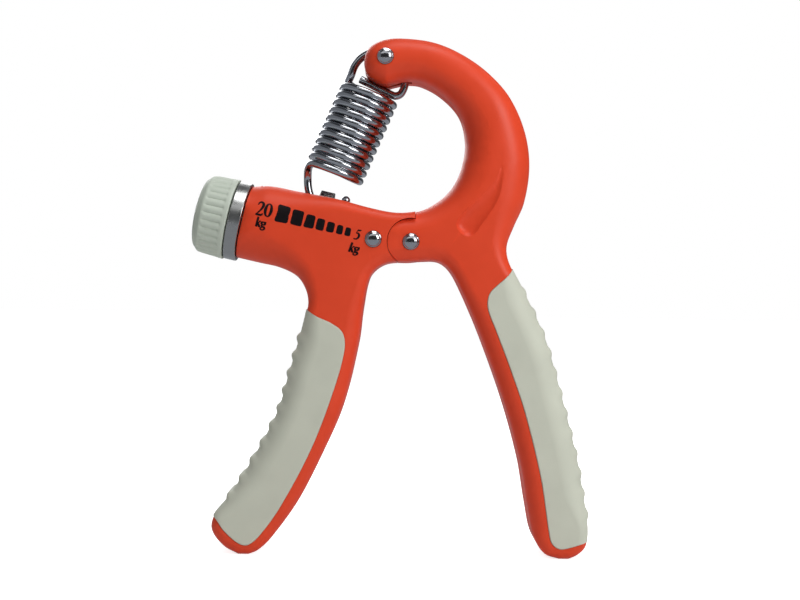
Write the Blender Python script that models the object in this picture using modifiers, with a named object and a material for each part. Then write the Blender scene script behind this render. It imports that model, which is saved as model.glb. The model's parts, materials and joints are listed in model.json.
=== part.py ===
"""Hand gripper: two levers hinged in an A, held open by a tension spring whose pull a knob adjusts.

Units are metres, +Z is up, +X is to the right and the hinge axis runs along Y.
Outlines are points (x, z) measured from the hinge axis. The handle tips stand on z = 0, centred on the origin.
"""

import math

import bmesh
import bpy
import numpy as np
from mathutils import Matrix, Vector
from mathutils.geometry import interpolate_bezier

# Clearances
GAP = 0.0003
SPLIT_GAP = 0.0003
SLIDE_GAP = 0.0004

# Levers
HINGE_X = 0.0059
TIP_DEPTH = 0.0955
LEVER_THICKNESS = 0.022
HANDLE_EDGE = 0.0032
BOW_EDGE = 0.0045
KNUCKLE_RADIUS = 0.0071
STOP_X = 0.0014
PEG_RADIUS = 0.002
PEG_LENGTH = 0.004
SCOOP_DEPTH = 0.001


def above_floor(x, height):
    """A point of the lower part of a handle, which keeps its height above the floor."""
    return (x, height - TIP_DEPTH)


# Outlines that both levers share at the hinge, so that their edges meet
HINGE_TOP = [(-0.0124, 0.0102), (-0.0048, 0.0089), (0.0014, 0.0094), (0.0056, 0.0110)]
HINGE_BOTTOM = [
    (0.0086, -0.0058), (0.0035, -0.0056), (-0.0005, -0.0060), (-0.0061, -0.0062), (-0.0098, -0.0078),
]

# Fixed lever, clockwise as seen from the front
ARM_TOP = [(-0.0440, 0.0171), (-0.0346, 0.0152), (-0.0234, 0.0130)]
LEFT_INNER = [
    (-0.0125, -0.0111), (-0.0142, -0.0200), (-0.0155, -0.0310), (-0.0200, -0.0505),
    above_floor(-0.0262, 0.0300), above_floor(-0.0332, 0.0160), above_floor(-0.0410, 0.0050),
    above_floor(-0.0450, 0.0012), above_floor(-0.0478, 0.0),
]
LEFT_OUTER = [
    above_floor(-0.0510, 0.0), above_floor(-0.0555, 0.0025), above_floor(-0.0591, 0.0074),
    above_floor(-0.0583, 0.0119), above_floor(-0.0543, 0.0168), above_floor(-0.0477, 0.0275),
    (-0.0400, -0.0530), (-0.0365, -0.0410), (-0.0335, -0.0300), (-0.0316, -0.0225),
    (-0.0309, -0.0190), (-0.0318, -0.0148), (-0.0347, -0.0108), (-0.0405, -0.0081), (-0.0466, -0.0068),
]
LEFT_PEGS = [(-0.0270, -0.0450), above_floor(-0.0450, 0.0125)]

# Moving lever, clockwise as seen from the front
BOW_INNER = [
    (0.0106, 0.0148), (0.0137, 0.0192), (0.0158, 0.0251), (0.0164, 0.0320), (0.0143, 0.0397),
    (0.0088, 0.0457), (0.0024, 0.0492), (-0.0023, 0.0496), (-0.0054, 0.0489), (-0.0090, 0.0482),
]
BOW_OUTER = [
    (-0.0136, 0.0506), (-0.0151, 0.0545), (-0.0138, 0.0590), (-0.0090, 0.0617), (-0.0025, 0.0622),
    (0.0066, 0.0610), (0.0152, 0.0574), (0.0231, 0.0519), (0.0298, 0.0446), (0.0346, 0.0345),
    (0.0362, 0.0240), (0.0347, 0.0129), (0.0314, 0.0051), (0.0293, -0.0008), (0.0300, -0.0058),
]
RIGHT_OUTER = [
    (0.0340, -0.0133), (0.0409, -0.0277), (0.0446, -0.0391),
    above_floor(0.0514, 0.0312), above_floor(0.0537, 0.0190), above_floor(0.0548, 0.0095),
    above_floor(0.0546, 0.0041), above_floor(0.0521, 0.0013), above_floor(0.0493, 0.0),
]
RIGHT_INNER = [
    above_floor(0.0463, 0.0), above_floor(0.0420, 0.0015), above_floor(0.0388, 0.0064),
    above_floor(0.0368, 0.0154), above_floor(0.0343, 0.0291),
    (0.0292, -0.0487), (0.0222, -0.0297), (0.0158, -0.0149), (0.0122, -0.0085),
]
RIGHT_PEGS = [(0.0265, 0.0330), (0.0370, -0.0380), above_floor(0.0460, 0.0155)]
SCOOP = [
    (0.0272, 0.0245), (0.0256, 0.0195), (0.0226, 0.0158), (0.0160, 0.0092), (0.0136, 0.0056),
    (0.0155, 0.0024), (0.0184, 0.0021), (0.0210, 0.0052), (0.0258, 0.0126), (0.0275, 0.0200),
]

# Grip pads: where each one ends on the lever's face, and past it on both sides
PAD_THICKNESS = 0.0022
PAD_PROUD = 0.0003
CORE_EDGE = 0.0010
RIB_HEIGHT = 0.0008
LEFT_RIBS = 10
RIGHT_RIBS = 12
LEFT_RIB_BOTTOM = 0.0150
RIGHT_RIB_BOTTOM = 0.0106
LEFT_RIB_TOP = -0.0268
RIGHT_RIB_TOP = -0.0114
LEFT_PAD_EDGE = [
    (-0.0380, -0.0165), (-0.0318, -0.0207), (-0.0282, -0.0230), (-0.0233, -0.0252), (-0.0201, -0.0280),
    (-0.0196, -0.0334), (-0.0230, -0.0464),
    above_floor(-0.0292, 0.0323), above_floor(-0.0381, 0.0150), above_floor(-0.0440, 0.0065),
    above_floor(-0.0476, 0.0033), above_floor(-0.0503, 0.0037), above_floor(-0.0545, 0.0080),
    above_floor(-0.0578, 0.0120), above_floor(-0.0680, 0.0165),
]
RIGHT_PAD_EDGE = [
    above_floor(0.0620, 0.0075), above_floor(0.0546, 0.0055), above_floor(0.0499, 0.0040),
    above_floor(0.0464, 0.0034), above_floor(0.0440, 0.0050), above_floor(0.0431, 0.0079),
    above_floor(0.0403, 0.0249),
    (0.0352, -0.0510), (0.0289, -0.0313), (0.0240, -0.0215), (0.0237, -0.0170), (0.0258, -0.0134),
    (0.0312, -0.0076), (0.0370, -0.0015),
]
LEFT_PAD_FAR = (-0.0750, -0.0450)
RIGHT_PAD_FAR = (0.0700, -0.0450)

# Adjuster: its axis starts at the arm's end face and runs down and inwards
ARM_END = (-0.0512, 0.0055)
ARM_TILT = math.radians(12.4)
ARM_HALF_HEIGHT = 0.01105
COLLAR_WIDTH = 0.0038
BUSH_RADIUS = 0.0075
BUSH_FLANGE_RADIUS = 0.0090
BUSH_FLANGE_START = 0.0010
BUSH_FLANGE_WIDTH = 0.0018
BUSH_DEPTH = 0.0042
SCREW_RADIUS = 0.003
HEX_RADIUS = 0.0046
HEX_HEIGHT = 0.0040
WASHER_RADIUS = 0.0070
WASHER_WIDTH = 0.0010
CLIP_RADIUS = 0.0052
CLIP_WIDTH = 0.0008
BEARING_RADIUS = 0.0046
BEARING_WIDTH = 0.0020
KNOB_RADIUS = 0.0125
KNOB_TAPER = 0.0005
KNOB_SIDE = 0.0084
KNOB_DOME = 0.0027
KNOB_BAND = 0.0012
COLLAR_INSET = 0.0003
FLUTES = 32
FLUTE_DEPTH = 0.0004

# Carriage: a nut on the screw and a strap that stands out of the arm's slot
CARRIAGE_REST = 0.0227
CARRIAGE_OUT = 0.0120
CARRIAGE_IN = 0.0060
NUT_LENGTH = 0.0065
NUT_HALF = 0.0055
STRAP_LENGTH = 0.0046
STRAP_THICKNESS = 0.0014
STRAP_TOP = 0.0156
STRAP_CROWN = 0.0020
STRAP_FOOT = 0.0020

# Rivets and the hinge tongue
SHANK_RADIUS = 0.0015
HEAD_RADIUS = 0.00255
HEAD_HEIGHT = 0.0014
HEAD_RECESS = 0.0005
TONGUE_RIVET = (-0.0114, 0.0006)
TONGUE_RADIUS = 0.0038
TONGUE_THICKNESS = 0.0024
PIVOT_BUSH_RADIUS = 0.0026

# Spring
WIRE_RADIUS = 0.00105
COIL_RADIUS = 0.0083
COIL_TURNS = 11
COIL_PITCH = 0.00257
COIL_LEAVE = 0.12
COIL_TOP = (-0.0132, 0.0470)
COIL_TILT = math.radians(23.0)
SPRING_PIN = (-0.0086, 0.0559)
LOOP_RADIUS = 0.0084
LOOP_TILT = math.radians(23.0)
LOOP_FIRST_ANGLE = math.radians(165.0)
LOOP_LAST_ANGLE = math.radians(-25.0)
CURL_RADIUS = 0.0026
TAIL_HEADING = math.radians(154.5)
TAIL_LENGTH = 0.0105
HOOK_BOTTOM = (-0.0259, 0.0094)
HOOK_LEFT = (-0.0322, 0.0190)
HOOK_TIP = (-0.0203, 0.0140)
LEAST_WIRE_GAP = 0.0004
TURN_POINTS = 9
LOOP_POINTS = 24
BEND_POINTS = 6

# Facets
LONG_STEP = 0.006
TURN_STEP = math.radians(14.0)
EDGE_STEPS = 3
SIDES = 24
PEG_SIDES = 16
KNUCKLE_SIDES = 48
RIB_POINTS = 4
FLUTE_POINTS = 4
DOME_STEPS = 4
SHARP_ANGLE = math.radians(35.0)

# Derived sizes
HALF_THICKNESS = LEVER_THICKNESS / 2
PAST = LEVER_THICKNESS
RUN_ON = LEVER_THICKNESS / 2
COLLAR_RADIUS = KNOB_RADIUS - COLLAR_INSET
KNOB_FRONT_RADIUS = KNOB_RADIUS - KNOB_TAPER
CHANNEL_HALF = NUT_HALF + SLIDE_GAP
STRAP_INNER = WIRE_RADIUS + SLIDE_GAP
STRAP_OUTER = STRAP_INNER + STRAP_THICKNESS
HOOK_REACH = WIRE_RADIUS + max(HOOK_BOTTOM[0] - HOOK_LEFT[0], HOOK_TIP[0] - HOOK_BOTTOM[0])
NUT_INMOST = CARRIAGE_REST + CARRIAGE_IN + NUT_LENGTH / 2
BEARING_START = NUT_INMOST + 2 * GAP
CLIP_START = BUSH_DEPTH + GAP
BEND_REACH = COIL_RADIUS / 2
SAMPLE_STEP = WIRE_RADIUS / 3


def linear(red, green, blue):
    """A colour as read off a screen, made linear."""
    return tuple(((c / 255 + 0.055) / 1.055) ** 2.4 for c in (red, green, blue)) + (1.0,)


def make_material(name, colour, roughness, metallic):
    material = bpy.data.materials.new(name)
    material.use_nodes = True
    shader = material.node_tree.nodes["Principled BSDF"]
    shader.inputs["Base Color"].default_value = colour
    shader.inputs["Roughness"].default_value = roughness
    shader.inputs["Metallic"].default_value = metallic
    material.diffuse_color = colour
    return material


def make_materials():
    return {
        "lever": make_material("orange_plastic", linear(214, 78, 56), 0.38, 0.0),
        "pad": make_material("grip_rubber", linear(183, 184, 173), 0.7, 0.0),
        "knob": make_material("knob_plastic", linear(160, 165, 152), 0.5, 0.0),
        "chrome": make_material("chromed_steel", linear(190, 190, 192), 0.12, 1.0),
        "brushed": make_material("brushed_steel", linear(176, 178, 180), 0.32, 1.0),
        "steel": make_material("plain_steel", linear(120, 122, 126), 0.4, 1.0),
        "nylon": make_material("white_nylon", linear(205, 204, 196), 0.55, 0.0),
    }


def empty(name, location, parent=None, tilt=0.0):
    frame = bpy.data.objects.new(name, None)
    frame.empty_display_size = 0.01
    frame.location = location
    frame.rotation_euler = (0.0, tilt, 0.0)
    frame.parent = parent
    bpy.context.scene.collection.objects.link(frame)
    return frame


def add_object(name, mesh, frame, material=None):
    """A sub-part if it has a material, else a cutter, in the frame's own coordinates."""
    obj = bpy.data.objects.new(name, mesh)
    obj.parent = frame
    if material is None:
        CUTTERS.objects.link(obj)
        obj.hide_render = True
        obj.display_type = "WIRE"
    else:
        mesh.materials.append(material)
        PARTS.objects.link(obj)
    return obj


def from_bmesh(name, shape, frame, material=None):
    bmesh.ops.recalc_face_normals(shape, faces=shape.faces)
    mesh = bpy.data.meshes.new(name)
    shape.to_mesh(mesh)
    shape.free()
    if material is not None:
        mesh.shade_smooth()
        mesh.set_sharp_from_angle(angle=SHARP_ANGLE)
    return add_object(name, mesh, frame, material)


def combine(target, tool, operation="DIFFERENCE"):
    modifier = target.modifiers.new(tool.name, "BOOLEAN")
    modifier.operation = operation
    modifier.solver = "EXACT"
    modifier.object = tool
    return target


def box(name, low, high, frame, material=None):
    shape = bmesh.new()
    centre = (Vector(low) + Vector(high)) / 2
    size = Vector(high) - Vector(low)
    bmesh.ops.create_cube(shape, size=1.0, matrix=Matrix.Translation(centre) @ Matrix.Diagonal((*size, 1.0)))
    return from_bmesh(name, shape, frame, material)


def cross_cylinder(name, centre, radius, front, back, frame, sides=SIDES, material=None):
    """A cylinder along Y between two depths, round the point (x, z)."""
    shape = bmesh.new()
    place = Matrix.Translation((centre[0], (front + back) / 2, centre[1])) @ Matrix.Rotation(math.pi / 2, 4, "X")
    bmesh.ops.create_cone(
        shape, cap_ends=True, segments=sides, radius1=radius, radius2=radius, depth=back - front, matrix=place)
    return from_bmesh(name, shape, frame, material)


def axis_cylinder(name, radius, low, high, frame, sides=SIDES, material=None):
    """A cylinder along the frame's own Z."""
    shape = bmesh.new()
    place = Matrix.Translation((0.0, 0.0, (low + high) / 2))
    bmesh.ops.create_cone(
        shape, cap_ends=True, segments=sides, radius1=radius, radius2=radius, depth=high - low, matrix=place)
    return from_bmesh(name, shape, frame, material)


def turned(name, profile, frame, material=None, sides=SIDES):
    """Turn a profile of (radius, height) round the frame's Z, drawn down its outer side. Off the axis it is a ring."""
    ring = min(radius for radius, height in profile) > 0
    count = len(profile)
    edges = [(i, (i + 1) % count) for i in range(count if ring else count - 1)]
    mesh = bpy.data.meshes.new(name)
    mesh.from_pydata([(radius, 0.0, height) for radius, height in profile], edges, [])
    obj = add_object(name, mesh, frame, material)
    screw = obj.modifiers.new("turn", "SCREW")
    screw.axis = "Z"
    screw.steps = sides
    screw.render_steps = sides
    screw.use_merge_vertices = True
    screw.merge_threshold = 0.000001
    screw.use_smooth_shade = False
    return obj


def arc(centre, radius, start, end, steps):
    angles = [start + (end - start) * i / steps for i in range(steps + 1)]
    return [(centre[0] + radius * math.cos(a), centre[1] + radius * math.sin(a)) for a in angles]


def smooth(points):
    """Points on a smooth open curve through the given ones, closer together where it bends."""
    knots = [Vector((x, z)) for x, z in points]
    guides = [2 * knots[0] - knots[1]] + knots + [2 * knots[-1] - knots[-2]]
    tangents = [(guides[i + 2] - guides[i]).normalized() for i in range(len(knots))]
    curve = [knots[0]]
    for i in range(len(knots) - 1):
        span = (knots[i + 1] - knots[i]).length
        turn = tangents[i].angle(tangents[i + 1])
        steps = max(1, round(span / LONG_STEP), round(turn / TURN_STEP))
        reach = span / 3
        handles = knots[i] + tangents[i] * reach, knots[i + 1] - tangents[i + 1] * reach
        flat = [Vector((*p, 0.0)) for p in (knots[i], *handles, knots[i + 1])]
        curve += [p.to_2d() for p in interpolate_bezier(*flat, steps + 1)[1:]]
    return [tuple(p) for p in curve]


def inwards(outline):
    """At each point of a clockwise outline, the step that moves both of its edges in by one."""
    points = np.array(outline)
    ahead = np.roll(points, -1, axis=0) - points
    ahead /= np.linalg.norm(ahead, axis=1)[:, None]
    right = np.stack([ahead[:, 1], -ahead[:, 0]], axis=1)
    before = np.roll(right, 1, axis=0)
    middle = right + before
    return middle / (1 + np.sum(right * before, axis=1))[:, None]


def moved_in(outline, distance):
    return np.array(outline) + inwards(outline) * np.reshape(distance, (-1, 1))


def loft(name, rings, frame, material=None):
    """One closed skin over rings of equal count, with flat ends."""
    shape = bmesh.new()
    loops = [[shape.verts.new(p) for p in ring] for ring in rings]
    for near, far in zip(loops, loops[1:]):
        for i in range(len(near)):
            j = (i + 1) % len(near)
            shape.faces.new((near[i], near[j], far[j], far[i]))
    shape.faces.new(loops[0])
    shape.faces.new(loops[-1][::-1])
    return from_bmesh(name, shape, frame, material)


def rim_rings(outline, radius, depth, side):
    """Rings that round an outline's rim with its own radius at each point, up to the face at this depth."""
    rings = []
    for step in range(EDGE_STEPS + 1):
        angle = math.pi / 2 * step / EDGE_STEPS
        plane = moved_in(outline, radius * (1 - math.cos(angle)))
        height = side * (depth - radius * (1 - math.sin(angle)))
        rings.append([(x, y, z) for (x, z), y in zip(plane, height)])
    return rings


def half_slab(name, outline, radius, side, frame, material=None):
    """Half a lever, from the split plane to its face, with a rounded rim. Side is -1 in front and 1 behind."""
    flat = [(x, side * SPLIT_GAP / 2, z) for x, z in outline]
    return loft(name, [flat] + rim_rings(outline, radius, HALF_THICKNESS, side), frame, material)


def whole_slab(name, outline, radius, depth, frame, material=None):
    front = rim_rings(outline, radius, depth, -1)
    return loft(name, front[::-1] + rim_rings(outline, radius, depth, 1), frame, material)


def prism(name, outline, depth, frame, material=None, middle=0.0):
    """A flat outline given thickness along Y, as a mesh."""
    curve = bpy.data.curves.new(name, "CURVE")
    curve.dimensions = "2D"
    curve.fill_mode = "BOTH"
    curve.extrude = depth
    spline = curve.splines.new("POLY")
    spline.points.add(len(outline) - 1)
    for point, (x, z) in zip(spline.points, outline):
        point.co = (x, z, 0.0, 1.0)
    spline.use_cyclic_u = True
    drawn = bpy.data.objects.new(name, curve)
    CUTTERS.objects.link(drawn)
    bpy.context.view_layer.update()
    mesh = bpy.data.meshes.new_from_object(drawn.evaluated_get(bpy.context.evaluated_depsgraph_get()))
    bpy.data.objects.remove(drawn)
    mesh.transform(Matrix.Translation((0.0, middle, 0.0)) @ Matrix.Rotation(math.pi / 2, 4, "X"))
    shape = bmesh.new()
    shape.from_mesh(mesh)
    bmesh.ops.remove_doubles(shape, verts=shape.verts, dist=0.000001)
    bpy.data.meshes.remove(mesh)
    return from_bmesh(name, shape, frame, material)


def arm_box(name, start, end, half_width, low, high, frame, material=None):
    """A box in the screw's frame, from start to end along the arm, and from low to high above the axis."""
    return box(name, (low, -half_width, -end), (high, half_width, -start), frame, material)


def arm_point(along, above):
    """The point at this distance down the screw's axis and above it, from the hinge axis."""
    x = ARM_END[0] + along * math.cos(ARM_TILT) + above * math.sin(ARM_TILT)
    z = ARM_END[1] - along * math.sin(ARM_TILT) + above * math.cos(ARM_TILT)
    return (x, z)


def left_outline():
    past_end = -RUN_ON
    near_end = -ARM_HALF_HEIGHT / 8
    top = [arm_point(past_end, ARM_HALF_HEIGHT), arm_point(near_end, ARM_HALF_HEIGHT)] + ARM_TOP + HINGE_TOP
    bottom = [arm_point(near_end, -ARM_HALF_HEIGHT), arm_point(past_end, -ARM_HALF_HEIGHT)]
    return smooth(top) + smooth(HINGE_BOTTOM + LEFT_INNER) + smooth(LEFT_OUTER + bottom)


def right_outline():
    return smooth(HINGE_TOP + BOW_INNER + BOW_OUTER + RIGHT_OUTER) + smooth(RIGHT_INNER + HINGE_BOTTOM)


def edge_radii(outline, bow):
    """The rim's radius at each point: larger round the bow, above the hinge, than along a handle."""
    heights = np.array([z for x, z in outline])
    share = np.clip((heights - KNUCKLE_RADIUS) / (2 * KNUCKLE_RADIUS), 0.0, 1.0)
    return HANDLE_EDGE + (BOW_EDGE - HANDLE_EDGE) * share * bow


def run_on(edge):
    """An open edge with both of its ends carried on straight."""
    points = [Vector(p) for p in edge]
    first = points[0] + (points[0] - points[1]).normalized() * RUN_ON
    last = points[-1] + (points[-1] - points[-2]).normalized() * RUN_ON
    return [tuple(first)] + [tuple(p) for p in points] + [tuple(last)]


def rib_wave(edge, ribs, low, high):
    """Push an open edge out to the pad's surface, in rounded ribs between two heights."""
    edge = np.array(edge)
    lengths = np.concatenate([[0.0], np.cumsum(np.linalg.norm(np.diff(edge, axis=0), axis=1))])
    upwards = np.argsort(edge[:, 1])
    start, end = sorted(np.interp((low, high), edge[upwards, 1], lengths[upwards]))
    ribbed = np.linspace(start, end, ribs * RIB_POINTS + 1)
    places = np.concatenate([lengths[lengths < start - GAP], ribbed, lengths[lengths > end + GAP]])
    line = np.stack([np.interp(places, lengths, edge[:, axis]) for axis in (0, 1)], axis=1)
    ahead = np.gradient(line, axis=0)
    ahead /= np.linalg.norm(ahead, axis=1)[:, None]
    out = np.stack([-ahead[:, 1], ahead[:, 0]], axis=1)
    turns = np.clip((places - start) / (end - start), 0.0, 1.0) * ribs
    rise = PAD_PROUD + RIB_HEIGHT * np.abs(np.sin(math.pi * turns))
    return [tuple(p) for p in line + out * rise[:, None]]


def handle_blank(name, edge, depth, radius, frame, material=None):
    """A slab with a rounded rim, from a handle's outer edge to past its inner one."""
    outline = edge + [(0.0, edge[-1][1]), (0.0, edge[0][1])]
    return whole_slab(name, outline, np.full(len(outline), radius), depth, frame, material)


def edge_moved_in(edge, distance):
    line = edge + [(0.0, edge[-1][1]), (0.0, edge[0][1])]
    return [tuple(p) for p in moved_in(line, distance)[:len(edge)]]


def add_pad(name, outer, region_edge, far, ribs, rib_ends, material):
    """A rubber pad wrapped round a handle's outer edge, and the bed for it that is cut out of the lever."""
    frame = FRAMES[name]
    edge = run_on(smooth(outer))
    ribbed = rib_wave(edge, ribs, *rib_ends)
    pad = handle_blank(name, ribbed, HALF_THICKNESS + PAD_PROUD, HANDLE_EDGE, frame, material)
    region_line = smooth(region_edge) + [far]
    combine(pad, prism(name + "_region", region_line, PAST, frame), "INTERSECT")
    under = PAD_THICKNESS
    core = handle_blank(name + "_core", edge_moved_in(edge, under), HALF_THICKNESS - under, CORE_EDGE, frame)
    combine(pad, core)
    bed = prism(name + "_bed", moved_in(region_line, -GAP), PAST, frame)
    under = PAD_THICKNESS + GAP
    core = handle_blank(name + "_bed_core", edge_moved_in(edge, under), HALF_THICKNESS - under, CORE_EDGE, frame)
    combine(bed, core)
    return bed


def add_pegs(half, points, side, frame):
    """Pegs on the front half and sockets for them in the back half."""
    for number, point in enumerate(points):
        name = f"{half.name}_peg_{number}"
        if side < 0:
            peg = cross_cylinder(name, point, PEG_RADIUS, -PEG_LENGTH, PEG_LENGTH, frame, PEG_SIDES)
            combine(half, peg, "UNION")
        else:
            socket = PEG_RADIUS + GAP
            combine(half, cross_cylinder(name, point, socket, -PEG_LENGTH, PEG_LENGTH + GAP, frame, PEG_SIDES))


def rivet_cutter(name, centre, side, frame):
    """A rivet's hole and the recess under its head, as one turned cutter."""
    hole = SHANK_RADIUS + GAP
    wide = HEAD_RADIUS + GAP
    floor = HALF_THICKNESS - HEAD_RECESS
    profile = [(0.0, PAST), (wide, PAST), (wide, floor), (hole, floor)]
    profile += [(hole, -PEG_LENGTH), (0.0, -PEG_LENGTH)]
    cutter = turned(name, profile, frame)
    cutter.location = (centre[0], 0.0, centre[1])
    cutter.rotation_euler = (-side * math.pi / 2, 0.0, 0.0)
    return cutter


def add_rivet(name, centre, frame, material):
    """A shank with a domed head on each face."""
    seat = HALF_THICKNESS - HEAD_RECESS + GAP
    angles = np.linspace(0.0, math.pi / 2, DOME_STEPS + 1)
    dome = [(HEAD_RADIUS * math.sin(a), seat + HEAD_HEIGHT * math.cos(a)) for a in angles]
    dome[0] = (0.0, seat + HEAD_HEIGHT)
    upper = dome + [(SHANK_RADIUS, seat)]
    profile = upper + [(radius, -height) for radius, height in upper[::-1]]
    rivet = turned(name, profile, frame, material)
    rivet.location = (centre[0], 0.0, centre[1])
    rivet.rotation_euler = (math.pi / 2, 0.0, 0.0)
    return rivet


def capsule(centre_a, centre_b, radius):
    """The outline of a bar with round ends."""
    heading = math.atan2(centre_b[1] - centre_a[1], centre_b[0] - centre_a[0])
    quarter = math.pi / 2
    start = arc(centre_a, radius, heading - quarter, heading - 3 * quarter, SIDES // 2)
    end = arc(centre_b, radius, heading + quarter, heading - quarter, SIDES // 2)
    return start + end


def add_fixed_lever(materials):
    base = FRAMES["base"]
    outline = left_outline()
    radius = edge_radii(outline, 0.0)
    rib_ends = (LEFT_RIB_BOTTOM - TIP_DEPTH, LEFT_RIB_TOP)
    rubber = materials["pad"]
    bed = add_pad("grip_left", LEFT_OUTER[2:12], LEFT_PAD_EDGE, LEFT_PAD_FAR, LEFT_RIBS, rib_ends, rubber)
    knuckle = KNUCKLE_RADIUS + GAP
    socket = cross_cylinder("hinge_socket", (0.0, 0.0), knuckle, -PAST, PAST, base, KNUCKLE_SIDES)
    beyond = box("hinge_side", (STOP_X - GAP, -PAST, -PAST), (PAST, PAST, PAST), base)
    room_line = capsule(TONGUE_RIVET, (0.0, 0.0), TONGUE_RADIUS + GAP)
    room = prism("tongue_room", room_line, TONGUE_THICKNESS / 2 + GAP, base)
    for side, word in ((-1, "front"), (1, "back")):
        half = half_slab("lever_left_" + word, outline, radius, side, base, materials["lever"])
        add_pegs(half, LEFT_PEGS, side, base)
        for cutter in (bed, socket, beyond, room, *arm_cutters(word)):
            combine(half, cutter)
        combine(half, rivet_cutter("tongue_rivet_hole_" + word, TONGUE_RIVET, side, base))


def arm_cutters(word):
    """The arm's end face, the bores and the channel inside it, and the slot in its top."""
    frame = FRAMES["screw_axis"]
    bush = BUSH_RADIUS + GAP
    flange = BUSH_FLANGE_RADIUS + GAP
    flange_start = BUSH_FLANGE_START - GAP
    flange_end = BUSH_FLANGE_START + BUSH_FLANGE_WIDTH + GAP
    reach = HOOK_REACH + 2 * SLIDE_GAP
    strap = STRAP_LENGTH / 2 + 2 * SLIDE_GAP
    slot_floor = arm_height_of(HOOK_BOTTOM) - WIRE_RADIUS - SLIDE_GAP
    slot_half = STRAP_OUTER + SLIDE_GAP
    channel_start = BUSH_DEPTH - GAP
    bearing_end = BEARING_START + BEARING_WIDTH + GAP
    return [
        arm_box("arm_end_" + word, -2 * PAST, 0.0, PAST, -PAST, PAST, frame),
        turned("bush_bore_" + word, [
            (0.0, GAP + PAST), (bush, GAP + PAST), (bush, -flange_start), (flange, -flange_start),
            (flange, -flange_end), (bush, -flange_end),
            (bush, -BUSH_DEPTH - GAP), (0.0, -BUSH_DEPTH - GAP)], frame),
        arm_box("channel_" + word, channel_start, BEARING_START - GAP,
                CHANNEL_HALF, -CHANNEL_HALF, CHANNEL_HALF, frame),
        axis_cylinder("bearing_bore_" + word, BEARING_RADIUS + GAP,
                      -bearing_end, -BEARING_START + GAP * 2, frame),
        arm_box("hook_slot_" + word, CARRIAGE_REST - CARRIAGE_OUT - reach, CARRIAGE_REST + CARRIAGE_IN + reach,
                slot_half, slot_floor, PAST, frame),
        arm_box("strap_slot_" + word, CARRIAGE_REST - CARRIAGE_OUT - strap, CARRIAGE_REST + CARRIAGE_IN + strap,
                slot_half - GAP, CHANNEL_HALF - GAP, slot_floor + GAP, frame),
    ]


def arm_height_of(point):
    """How far a point lies above the screw's axis."""
    return (point[0] - ARM_END[0]) * math.sin(ARM_TILT) + (point[1] - ARM_END[1]) * math.cos(ARM_TILT)


def add_moving_lever(materials):
    frame = FRAMES["grip_axis"]
    outline = right_outline()
    radius = edge_radii(outline, 1.0)
    outer = BOW_OUTER[-2:] + RIGHT_OUTER[:7]
    rib_ends = (RIGHT_RIB_BOTTOM - TIP_DEPTH, RIGHT_RIB_TOP)
    bed = add_pad("grip_right", outer, RIGHT_PAD_EDGE, RIGHT_PAD_FAR, RIGHT_RIBS, rib_ends, materials["pad"])
    past_knuckle = prism("past_knuckle", knuckle_cut(), PAST, frame)
    fork = KNUCKLE_RADIUS + 2 * GAP
    room = TONGUE_THICKNESS / 2 + GAP
    fork_slot = cross_cylinder("fork_slot", (0.0, 0.0), fork, -room, room, frame, KNUCKLE_SIDES)
    swung_out = loop_centre(swing_of(CARRIAGE_OUT))
    swung_in = loop_centre(-swing_of(CARRIAGE_IN))
    loop_ways = capsule(swung_out, swung_in, LOOP_RADIUS + WIRE_RADIUS + SLIDE_GAP)
    loop_slot = prism("loop_slot", loop_ways, WIRE_RADIUS + SLIDE_GAP, frame)
    for side, word in ((-1, "front"), (1, "back")):
        half = half_slab("lever_right_" + word, outline, radius, side, frame, materials["lever"])
        add_pegs(half, RIGHT_PEGS, side, frame)
        scoop = prism("scoop_" + word, smooth(SCOOP), SCOOP_DEPTH, frame, middle=side * HALF_THICKNESS)
        for cutter in (bed, past_knuckle, fork_slot, scoop, loop_slot):
            combine(half, cutter)
        combine(half, rivet_cutter("pivot_rivet_hole_" + word, (0.0, 0.0), side, frame))
        combine(half, rivet_cutter("spring_rivet_hole_" + word, SPRING_PIN, side, frame))


def knuckle_cut():
    """All that lies left of the stop and outside the knuckle."""
    start = math.asin(STOP_X / KNUCKLE_RADIUS)
    round_part = arc((0.0, 0.0), KNUCKLE_RADIUS, math.pi / 2 - start, 3 * math.pi / 2 + start, KNUCKLE_SIDES // 2)
    return [(STOP_X, PAST / 2)] + round_part + [(STOP_X, -PAST / 2), (-PAST, -PAST / 2), (-PAST, PAST / 2)]


def swing_of(travel):
    """The angle that the spring swings through as the carriage moves this far."""
    drop = math.hypot(SPRING_PIN[0] - HOOK_BOTTOM[0], SPRING_PIN[1] - HOOK_BOTTOM[1])
    return travel / drop


def loop_centre(swing=0.0):
    """The centre of the spring's upper loop, which hangs from the pin."""
    hang = LOOP_RADIUS - WIRE_RADIUS - SHANK_RADIUS - GAP
    angle = LOOP_TILT + swing
    return (SPRING_PIN[0] - hang * math.sin(angle), SPRING_PIN[1] - hang * math.cos(angle))


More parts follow.
